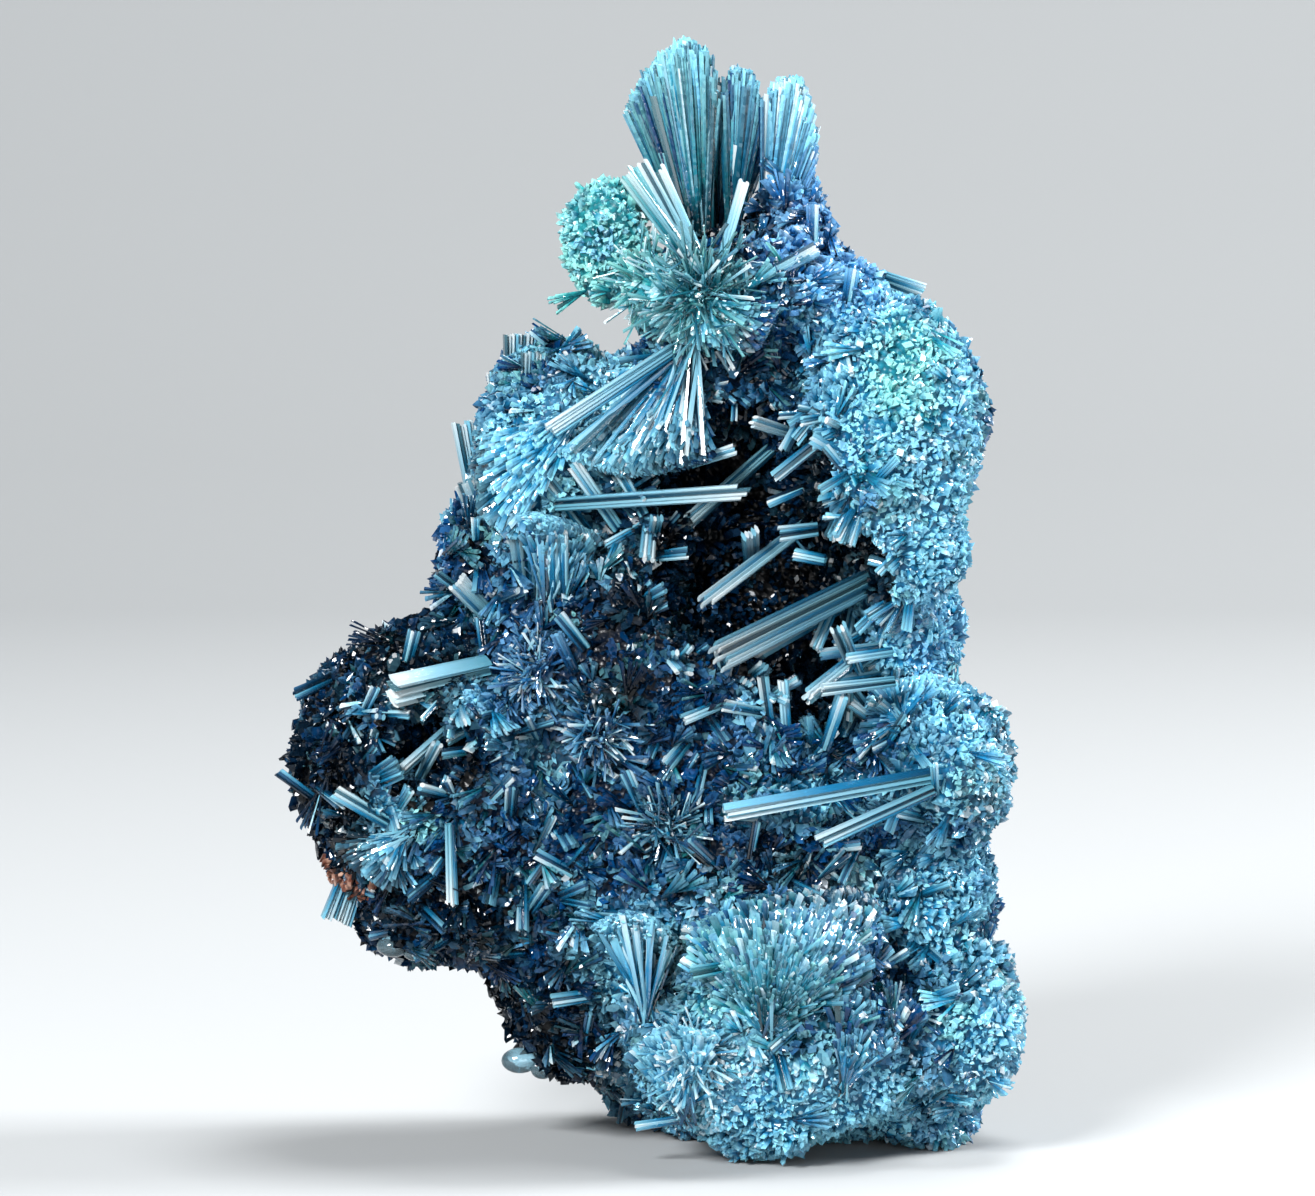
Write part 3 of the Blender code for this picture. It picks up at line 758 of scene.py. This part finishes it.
def nubs(finish):
    """Clear rounded crystals that hang from the lower left edge."""
    bm = bmesh.new()
    for (x, z), half in NUBS:
        depth = display_depth(x + 1.5, z + 2.0) + 4.0
        rounded(bm, (x, depth, z), half, subdivisions=3)
    piece = object_from(bm, "clear_nubs")
    piece.data.shade_smooth()
    places = np.array([vertex.co for vertex in piece.data.vertices]) / MM
    tones = bloomed(places)
    # Near white all over: the clear crystal's own paleness, and partly painted glints.
    tones["pale"][:], tones["dark"][:], tones["white_and_glint"][:] = 1.0, 0.0, 0.5
    paint(piece.data, np.full(len(places), 0.8), tones)
    dress(piece, finish, "indicolite", "indicolite_mass")


def crust(name, finish, wall_finish, dice):
    """The lining of one hollow and the crystals that stand into it, darkened with painted shade."""
    wall = crust_wall(name)
    places, normals = spots_on(wall, CRUST_COUNT[name], dice)
    inner = hollow_depth(places + normals * 0.3, name) > hollow_depth(places, name)
    places, normals = places[inner], normals[inner]
    owner, out, middles = patches(places, 3.0, dice)
    tones = tones_at(places, dice, owner)
    # Painted shade in the hollow: its crystals are made dark, with little pale or white.
    tones["dark"] = np.clip(dice.normal(0.9, 0.12, len(middles))[owner], 0, 1)
    tones["pale"] *= 0.3
    tones["white_and_glint"] *= 0.5
    lean = dice.normal(0, 0.5, (len(middles), 3))[owner]
    ways = unit(normals + lean) + 0.4 * out / 3.0 + dice.normal(0, 0.2, places.shape)
    widths = 0.7 * dice.lognormal(0, 0.3, len(places))
    lengths = np.clip(1.6 + dice.normal(0, 0.4, len(middles))[owner] + dice.normal(0, 0.3, len(places)), 0.6, 3.0)
    flats = dice.uniform(0.5, 1.0, len(places))
    piece = grown(name + "_druse", prism_shape(4, slant=0.5), places - normals * 0.3, ways, widths, lengths,
                  flats, dice, tones)
    dress(piece, finish, "vug_indicolite", name)
    dress(wall, wall_finish, "vug_indicolite", name)


# The large crystals, each a bundle of laths that grew side by side.


def bundles(name, roots, tips, widths, dice, white=0.45):
    """Blades from roots to tips, each of a few laths with stepped ends, broad side to the display side."""
    roots, tips, widths = (np.array(values, float) for values in (roots, tips, widths))
    laths = np.maximum(3, np.round(widths / LATH).astype(int))
    own = np.repeat(np.arange(len(roots)), laths)
    step = np.concatenate([(np.arange(count) + 0.5) / count - 0.5 for count in laths])
    ways = tips - roots
    side = unit(np.cross(ways, np.array([0.0, 1.0, 0.0]) + dice.normal(0, 0.25, ways.shape)))
    thin = unit(np.cross(ways, side))
    start = roots[own] + side[own] * (step * widths[own] * 0.8)[:, None]
    start += thin[own] * dice.normal(0, 0.06, (len(own), 1)) * widths[own][:, None]
    end = tips[own] + side[own] * (step * widths[own])[:, None]
    lengths = np.linalg.norm(end - start, axis=1) * dice.uniform(0.93, 1.0, len(own))
    tones = stripes(start + (end - start) * 0.5, dice, white)
    flats = SLENDER * laths[own] * dice.uniform(0.6, 0.95, len(own))
    shape = prism_shape(6, taper=0.92, slant=0.3)
    return grown(name, shape, start, end - start, widths[own] / laths[own] * 1.15, lengths, flats, dice, tones,
                 sides=side[own])


def stripes(places, dice, white=0.45):
    """Tones that differ from one lath to the next, from clear white to deep blue; the white laths are partly painted
    highlights along the blade.
    """
    tones = tones_at(places, dice)
    throw = (dice.random() + np.arange(len(places)) * 0.382) % 1
    # The white laths: partly painted highlights.
    tones["white_and_glint"] = np.where(throw < white, dice.uniform(0.5, 1.0, len(places)), 0.0)
    tones["pale"] = np.clip(tones["pale"] + np.where(throw < white + 0.35, 0.7, 0.1), 0, 1)
    tones["dark"] = np.where(throw > 0.88, 0.7, 0.0)
    return tones


def blades(finish, dice):
    """The large crystals that show one by one."""
    roots, tips, widths = [], [], []
    for root, tip, width, stand in BLADES:
        if len(root) == 3:
            depth = near = root[2]
        else:
            depth = display_depth(*root) + ROOT
            near = display_depth(*tip) - stand
        roots.append((root[0], depth, root[1]))
        tips.append((tip[0], near, tip[1]))
        widths.append(width)
    piece = bundles("long_blades", roots, tips, widths, dice, 0.68)
    dress(piece, finish, "indicolite", "indicolite_mass")
    roots = [(x, display_depth(x, z) + ROOT, z) for (x, z), _, _, _ in FRINGE]
    tips = [(x, display_depth(x, z) + behind, z) for _, (x, z), _, behind in FRINGE]
    piece = bundles("fringe_blades", roots, tips, [width for _, _, width, _ in FRINGE], dice)
    dress(piece, finish, "indicolite", "indicolite_mass")
    for name, crossing in CROSSING.items():
        piece = bundles(name + "_blades", *zip(*crossing), dice, 0.6)
        dress(piece, finish, "vug_indicolite", name)


def sprays(finish, fine_finish, dice):
    """The fans and plumes: a ridged sheet, laths over it from the same root, and needles on both."""
    for name, ((x, z), line, stand, behind, count) in SPRAYS.items():
        foot = np.array([x, 0.0, z])
        line = np.array([(tip[0], 0.0, tip[1]) for tip in line])
        sheet(name, foot, line, stand, behind, fine_finish, dice)
        laths(name, foot, line, stand, behind, count, finish, dice)
        needles(name, foot, line, stand, behind, fine_finish, dice)


def settled(points, part, stand, behind):
    """The points of a spray at its depth: part is 0 at its foot and 1 at its tips."""
    if behind is None:
        depths = np.array([display_depth(*point) for point in points[:, [0, 2]]])
        points[:, 1] += depths + ROOT - (ROOT + stand) * part
    else:
        points[:, 1] += behind
    return points


def laths(name, foot, line, stand, behind, count, finish, dice):
    """The long blades of a spray, from its foot to its tips."""
    on_surface = behind is None
    along = dice.uniform(0, len(line) - 1, count)
    along[: len(line)] = np.arange(len(line))
    short = dice.uniform(0.55, 1.0, count)
    short[: len(line)] = 1.0
    ends = settled(foot + (on_line(line, along) - foot) * short[:, None], short, stand, behind)
    ends[:, 1] += dice.uniform(-1.0, 1.0, count) * (0.7 if on_surface else 1.3)
    roots = settled(foot + dice.normal(0, 0.4, (count, 3)), 0.2, stand, behind)
    ways = ends - roots
    lengths = np.linalg.norm(ways, axis=1)
    side = unit(np.cross(ways, np.array([0.0, 1.0, 0.0]) + dice.normal(0, 0.25, ways.shape)))
    tones = stripes(ends, dice, 0.35)
    piece = grown(name + "_laths", prism_shape(6, taper=0.35, slant=0.25), roots, ways,
                  dice.uniform(0.3, 0.9, count), lengths, dice.uniform(0.35, 0.6, count), dice, tones,
                  sides=side)
    dress(piece, finish, "indicolite", "indicolite_mass")


def needles(name, foot, line, stand, behind, finish, dice):
    """The close-set fine crystals of a spray, along its growth, with their roots under one another."""
    on_surface = behind is None
    count = int(np.linalg.norm(np.diff(line, axis=0), axis=1).sum() * FEATHERS)
    ends = on_line(line, dice.uniform(0, len(line) - 1, count))
    span = np.linalg.norm(ends - foot, axis=1)
    if on_surface:
        part = dice.uniform(0.03, 0.97, count) ** 0.6
        reach = np.minimum(dice.uniform(1.2, 4.0, count), span * (1.0 - part) + 0.5)
        rooted = dice.uniform(0.0, 0.3, count)
        lift = -dice.uniform(0.08, 0.4, count) * reach
    else:
        part = dice.uniform(0.0, 1.0, count) ** 1.2 * 0.75
        reach = span * (1.0 - part) * dice.uniform(0.86, 1.0, count)
        rooted = dice.uniform(-0.4, 0.4, count)
        lift = dice.uniform(-1.3, 1.3, count)
    places = settled(foot + (ends - foot) * part[:, None], part, stand, behind)
    beyond = part + reach / span
    tips = settled(foot + (ends - foot) * beyond[:, None], beyond, stand, behind)
    places[:, 1] += rooted
    tips[:, 1] += lift
    ways = unit(tips - places) + dice.normal(0, 0.18 if on_surface else 0.025, (count, 3))
    tones = tones_at(places + ways * 0.6 * reach[:, None], dice)
    tones["pale"] = np.clip(tones["pale"] + dice.uniform(-0.3, 0.4, count), 0, 1)
    widths = dice.uniform(0.35, 0.95, count) * (0.45 + 0.55 * part)
    taper, wobble = (0.9, 0.3) if on_surface else (1.6, 0.8)
    side = np.cross(ways, np.array([0.0, 1.0, 0.0]) + dice.normal(0, wobble, ways.shape))
    piece = grown(name + "_needles", prism_shape(4, taper=taper, slant=0.35), places, ways, widths, reach,
                  dice.uniform(0.35, 0.7, count), dice, tones, sides=unit(side))
    dress(piece, finish, "indicolite", "indicolite_mass")


def on_line(line, along):
    """Places on a line of points, where 1.5 is halfway from its second to its third point."""
    low = np.minimum(along.astype(int), len(line) - 2)
    return line[low] + (line[low + 1] - line[low]) * (along - low)[:, None]


def sheet(name, foot, line, stand, behind, finish, dice):
    """A thin fan from its foot to a line of tips, ridged along its growth, with an uneven edge."""
    span = np.linalg.norm(np.diff(line, axis=0), axis=1).sum()
    across, up = int(span / SHEET_GRAIN), SHEET_ROWS
    bm = bmesh.new()
    bmesh.ops.create_grid(bm, x_segments=across, y_segments=up, size=0.5)
    bmesh.ops.solidify(bm, geom=bm.faces, thickness=1.0)
    bmesh.ops.recalc_face_normals(bm, faces=bm.faces)
    flat = np.array([vertex.co for vertex in bm.verts])
    flat[:, 2] -= flat[:, 2].mean()
    u, v, face = flat[:, 0] + 0.5, flat[:, 1] + 0.5, np.sign(flat[:, 2])
    start = dice.uniform(0, 100)
    wave = np.array([noise.noise((start + a * span * 1.1, b * 1.2, f)) for a, b, f in zip(u, v, face)])
    ridge = np.array([noise.noise((start + a * span * 3.0, b * 2.0, f + 5)) for a, b, f in zip(u, v, face)])
    notch = np.array([noise.noise((start + a * span * 2.2, 9.0, 0.0)) for a in u])
    places = foot + (on_line(line, u * (len(line) - 1)) - foot) * (v * (1.0 + 0.045 * notch))[:, None]
    places = settled(places, v, stand, behind)
    places[:, 1] += face * (0.35 + 0.45 * ridge * v) + 0.9 * wave * v
    # Paler on the raised ridges and darker in the grooves, white on the ridge tops: painted highlight and shade.
    tones = bloomed(places)
    tones["pale"] = np.clip(tones["pale"] + 0.15 + 0.6 * ridge, 0, 1)
    tones["white_and_glint"] = np.clip(ridge * 2 - 0.6, 0, 0.5)
    for vertex, place in zip(bm.verts, places):
        vertex.co = place * MM
    piece = object_from(bm, name + "_sheet")
    paint(piece.data, v, tones)
    dress(piece, finish, "indicolite", "indicolite_mass")


# Finishes.


def node(tree, kind, settings=(), links=()):
    """Adds a node, sets its values and joins its inputs."""
    made = tree.nodes.new(kind)
    for key, value in dict(settings).items():
        if isinstance(key, str) and hasattr(made, key):
            setattr(made, key, value)
        else:
            made.inputs[key].default_value = value
    for key, socket in dict(links).items():
        tree.links.new(socket, made.inputs[key])
    return made


def ramp(tree, factor, stops):
    """A colour ramp over these (place, hex) stops."""
    made = tree.nodes.new("ShaderNodeValToRGB")
    band = made.color_ramp
    while len(band.elements) < len(stops):
        band.elements.new(1.0)
    for element, (place, colour) in zip(band.elements, stops):
        element.position = place
        element.color = linear(colour)
    tree.links.new(factor, made.inputs["Fac"])
    return made.outputs["Color"]


def mixed(tree, factor, first, second):
    """First where factor is 0, second where it is 1."""
    made = node(tree, "ShaderNodeMix", {"data_type": "RGBA"})
    tree.links.new(factor, made.inputs["Factor"])
    tree.links.new(first, made.inputs["A"])
    tree.links.new(second, made.inputs["B"])
    return made.outputs["Result"]


def new_finish(name):
    made = bpy.data.materials.new(name)
    made.use_nodes = True
    return made, made.node_tree, made.node_tree.nodes["Principled BSDF"]


ETCH_SCALE = 700.0  # etched places about 1.4 mm apart
MARK_SCALE = 3500.0  # growth marks about 0.3 mm apart
FACET_SCALE = 2300.0  # fine facets of the druse about 0.45 mm across

# Each tone of indicolite, from a crystal's root to its tip. The dark root end is partly the crystal's deeper colour
# and partly painted shade between the crystals; the near-white tone is partly painted glints.
TONES = {
    "blue": [(0.0, "#000611"), (0.5, "#011d3b"), (1.0, "#053f70")],
    "pale": [(0.0, "#063f60"), (0.5, "#2186b4"), (1.0, "#90d8ee")],
    "green": [(0.0, "#065663"), (0.5, "#2f9da0"), (1.0, "#97ded6")],
    "violet": [(0.0, "#052448"), (0.5, "#1f66a8"), (1.0, "#7ab6e6")],
    "dark": [(0.0, "#000102"), (0.6, "#010307"), (1.0, "#02101d")],
    "white_and_glint": [(0.0, "#6fc0d8"), (0.6, "#b4e6f4"), (1.0, "#fbffff")],
}


def toned(tree):
    """The crystals' colour: their tones, each from root to tip, mixed by the mesh's attributes."""
    growth = node(tree, "ShaderNodeAttribute", {"attribute_name": "growth"})
    growth = node(tree, "ShaderNodeSeparateXYZ", links={"Vector": growth.outputs["Vector"]})
    tone = node(tree, "ShaderNodeAttribute", {"attribute_name": "tone"})
    tone = node(tree, "ShaderNodeSeparateXYZ", links={"Vector": tone.outputs["Vector"]})
    shares = {
        "pale": tone.outputs["X"],
        "green": tone.outputs["Y"],
        "violet": tone.outputs["Z"],
        "dark": growth.outputs["Y"],
        "white_and_glint": growth.outputs["Z"],
    }
    colour = ramp(tree, growth.outputs["X"], TONES["blue"])
    for key, share in shares.items():
        colour = mixed(tree, share, colour, ramp(tree, growth.outputs["X"], TONES[key]))
    return colour


def crystal_finish(name, roughness, transmission, specular):
    """Indicolite in its tones, with polished and etched places and a skin of fine growth marks."""
    made, tree, shader = new_finish(name)
    shader.inputs["Specular IOR Level"].default_value = specular
    tree.links.new(toned(tree), shader.inputs["Base Color"])
    place = node(tree, "ShaderNodeTexCoord").outputs["Object"]
    etched = node(tree, "ShaderNodeTexNoise", {"Scale": ETCH_SCALE, "Detail": 0.0}, {"Vector": place})
    rough = node(tree, "ShaderNodeMapRange", {"From Min": 0.35, "From Max": 0.7}, {"Value": etched.outputs["Fac"]})
    rough.inputs["To Min"].default_value = roughness
    rough.inputs["To Max"].default_value = roughness + 0.1
    tree.links.new(rough.outputs["Result"], shader.inputs["Roughness"])
    marks = node(tree, "ShaderNodeTexNoise", {"Scale": MARK_SCALE, "Detail": 0.0}, {"Vector": place})
    bump = node(tree, "ShaderNodeBump", {"Strength": 0.15, "Distance": 0.0001}, {"Height": marks.outputs["Fac"]})
    tree.links.new(bump.outputs["Normal"], shader.inputs["Normal"])
    shader.inputs["IOR"].default_value = 1.63
    shader.inputs["Transmission Weight"].default_value = transmission
    return made


def absorbing(made, colour, density):
    """The finish with a body colour that deepens with the thickness of the crystal."""
    tree = made.node_tree
    body = node(tree, "ShaderNodeVolumeAbsorption", {"Color": linear(colour), "Density": density})
    tree.links.new(body.outputs["Volume"], tree.nodes["Material Output"].inputs["Volume"])
    return made


def faceted(made, strength, contrast):
    """The finish broken up into fine facets, each tilted and shaded its own way."""
    tree = made.node_tree
    shader = tree.nodes["Principled BSDF"]
    place = node(tree, "ShaderNodeTexCoord").outputs["Object"]
    cells = node(tree, "ShaderNodeTexVoronoi", {"Scale": FACET_SCALE}, {"Vector": place})
    offset = node(tree, "ShaderNodeVectorMath", {"operation": "SUBTRACT"}, {0: place, 1: cells.outputs["Position"]})
    tilt = node(tree, "ShaderNodeVectorMath", {"operation": "SUBTRACT"}, {0: cells.outputs["Color"]})
    tilt.inputs[1].default_value = (0.5, 0.5, 0.5)
    slopes = {0: offset.outputs[0], 1: tilt.outputs[0]}
    height = node(tree, "ShaderNodeVectorMath", {"operation": "DOT_PRODUCT"}, slopes).outputs["Value"]
    bump = node(tree, "ShaderNodeBump", {"Strength": strength, "Distance": 1.0}, {"Height": height})
    tree.links.new(bump.outputs["Normal"], shader.inputs["Normal"])
    shade = node(tree, "ShaderNodeSeparateXYZ", links={"Vector": cells.outputs["Color"]})
    shade = ramp(tree, shade.outputs["X"], [(0.0, "#94b2c2"), (0.6, "#ffffff")])
    graded(tree, shader.inputs["Base Color"], shade, contrast)
    return made


def druse_finish():
    """Glassy indicolite druse: deep blue at the roots, partly painted shade between the crystals, clearing to pale
    cyan at the tips.
    """
    return faceted(crystal_finish("glassy_indicolite_druse", 0.04, 0.15, 0.14), 0.7, 0.8)


def graded(tree, socket, shade, factor):
    """Multiplies the colour that goes into a socket by a shade."""
    made = node(tree, "ShaderNodeMix", {"data_type": "RGBA", "blend_type": "MULTIPLY", "Factor": factor})
    tree.links.new(socket.links[0].from_socket, made.inputs["A"])
    tree.links.new(shade, made.inputs["B"])
    tree.links.new(made.outputs["Result"], socket)


def blade_finish():
    """Clear striated tourmaline laths: some nearly white, partly as painted highlights, some deep blue, side by
    side.
    """
    return absorbing(crystal_finish("clear_striated_indicolite", 0.03, 0.5, 0.5), "#8fd4e6", 700.0)


def needle_finish():
    """Silky bundles of grown-together needles, clearing to pale cyan at their tips."""
    return faceted(crystal_finish("silky_indicolite_needles", 0.06, 0.2, 0.25), 0.35, 0.5)


def nub_finish():
    """Clear, nearly colourless tourmaline, rounded and wet-looking."""
    return absorbing(crystal_finish("clear_rounded_tourmaline", 0.02, 0.9, 0.5), "#9fd6e2", 150.0)


def stained_finish():
    """Iron-stained crystals: rusty brown with darker specks, duller than the indicolite."""
    made, tree, shader = new_finish("iron_stained_crystal")
    place = node(tree, "ShaderNodeTexCoord").outputs["Object"]
    specks = node(tree, "ShaderNodeTexNoise", {"Scale": 900.0, "Detail": 4.0}, {"Vector": place})
    colour = ramp(tree, specks.outputs["Fac"], [(0.35, "#160b09"), (0.5, "#5b3428"), (0.68, "#a98674")])
    tree.links.new(colour, shader.inputs["Base Color"])
    shader.inputs["Roughness"].default_value = 0.35
    return made


def core_finish():
    """The grown-together inside of the cluster: the shadowed colour of its crystals' roots, in grains."""
    made = crystal_finish("shadowed_indicolite_core", 0.3, 0.0, 0.15)
    tree = made.node_tree
    shader = tree.nodes["Principled BSDF"]
    place = node(tree, "ShaderNodeTexCoord").outputs["Object"]
    grains = node(tree, "ShaderNodeTexVoronoi", {"Scale": 1400.0}, {"Vector": place})
    grain_height = {"Height": grains.outputs["Distance"]}
    bump = node(tree, "ShaderNodeBump", {"Strength": 0.9, "Distance": 0.0004}, grain_height)
    tree.links.new(bump.outputs["Normal"], shader.inputs["Normal"])
    shade = ramp(tree, grains.outputs["Distance"], [(0.1, "#f4fbff"), (0.9, "#30506a")])
    graded(tree, shader.inputs["Base Color"], shade, 0.8)
    return made


def dress(piece, finish, slot, *nodes):
    """Gives a piece its finish, puts it on the body and hides the CAD nodes that it stands for. The slot is not
    used.
    """
    piece.data.materials.clear()
    piece.data.materials.append(finish)
    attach(piece, BODY)
    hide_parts(*nodes)


# The floor, lights and camera.


def studio():
    bm = bmesh.new()
    bmesh.ops.create_grid(bm, x_segments=1, y_segments=1, size=3.0)
    far = [edge for edge in bm.edges if all(v.co.y > 0 for v in edge.verts)]
    for vertex in bm.verts:
        if vertex.co.y > 0:
            vertex.co.y = 0.6
    for angle in range(1, 7):
        made = bmesh.ops.extrude_edge_only(bm, edges=far)["geom"]
        turn = math.radians(15 * angle)
        verts = [item for item in made if isinstance(item, bmesh.types.BMVert)]
        for vertex in verts:
            vertex.co.y = 0.6 + 0.5 * math.sin(turn)
            vertex.co.z = 0.5 - 0.5 * math.cos(turn)
        far = [item for item in made if isinstance(item, bmesh.types.BMEdge)]
    made = bmesh.ops.extrude_edge_only(bm, edges=far)["geom"]
    for item in made:
        if isinstance(item, bmesh.types.BMVert):
            item.co.z = 3.0
    floor = object_from(bm, "studio_floor")
    floor.data.shade_smooth()
    made, tree, shader = new_finish("pale_paper_sweep")
    shader.inputs["Base Color"].default_value = linear("#9c9fa1")
    shader.inputs["Roughness"].default_value = 0.9
    floor.data.materials.append(made)


def soft_light(name, place, size, watts, colour="#ffffff"):
    light = bpy.data.lights.new(name, "AREA")
    light.shape = "RECTANGLE"
    light.size, light.size_y = size
    light.energy = watts
    light.color = linear(colour)[:3]
    obj = bpy.data.objects.new(name, light)
    bpy.context.scene.collection.objects.link(obj)
    obj.location = place
    obj.rotation_euler = (Vector((0, 0, 0.055)) - Vector(place)).to_track_quat("-Z", "Y").to_euler()


def camera():
    """The photograph's view: a long lens a little above the middle of the cluster."""
    lens = bpy.data.cameras.new("camera")
    lens.lens = 200.0
    lens.sensor_width = 36.0
    lens.clip_start = 0.05
    obj = bpy.data.objects.new("camera", lens)
    bpy.context.scene.collection.objects.link(obj)
    rise = math.radians(5.0)
    away = 0.1315 * lens.lens / lens.sensor_width
    middle = Vector((-0.0001, 0.0, 0.0549))
    back = Vector((0, -math.cos(rise), math.sin(rise)))
    obj.location = middle + back * away
    obj.rotation_euler = (-back).to_track_quat("-Z", "Y").to_euler()
    bpy.context.scene.camera = obj


def surroundings():
    world = bpy.data.worlds.new("studio")
    bpy.context.scene.world = world
    world.use_nodes = True
    sky = world.node_tree.nodes["Background"]
    sky.inputs["Color"].default_value = linear("#eef2f5")
    sky.inputs["Strength"].default_value = 0.1
    bpy.context.scene.view_settings.view_transform = "Standard"


def main():
    camera()
    surroundings()
    studio()
    soft_light("key", (-0.45, -0.85, 0.6), (0.3, 0.3), 24)
    soft_light("top", (0.15, 0.1, 1.0), (0.4, 0.4), 10)
    soft_light("fill", (0.35, -1.1, 0.15), (0.9, 0.6), 5)
    soft_light("rim", (0.85, 0.15, 0.45), (0.25, 0.5), 18)
    dice = np.random.default_rng(5)
    core = grown_core()
    fine, clear, inside = druse_finish(), blade_finish(), core_finish()
    druse(core, fine, dice)
    surface_fans(core, fine, dice)
    shards(core, fine, dice)
    strewn(core, clear, dice)
    rim_blades(core, clear, dice)
    bursts(clear, dice)
    dress(core, inside, "indicolite", "indicolite_mass")
    blades(clear, dice)
    stained_patch(core, stained_finish(), dice)
    nubs(nub_finish())
    sprays(clear, needle_finish(), dice)
    for name in HOLLOWS:
        crust(name, fine, inside, dice)


main()
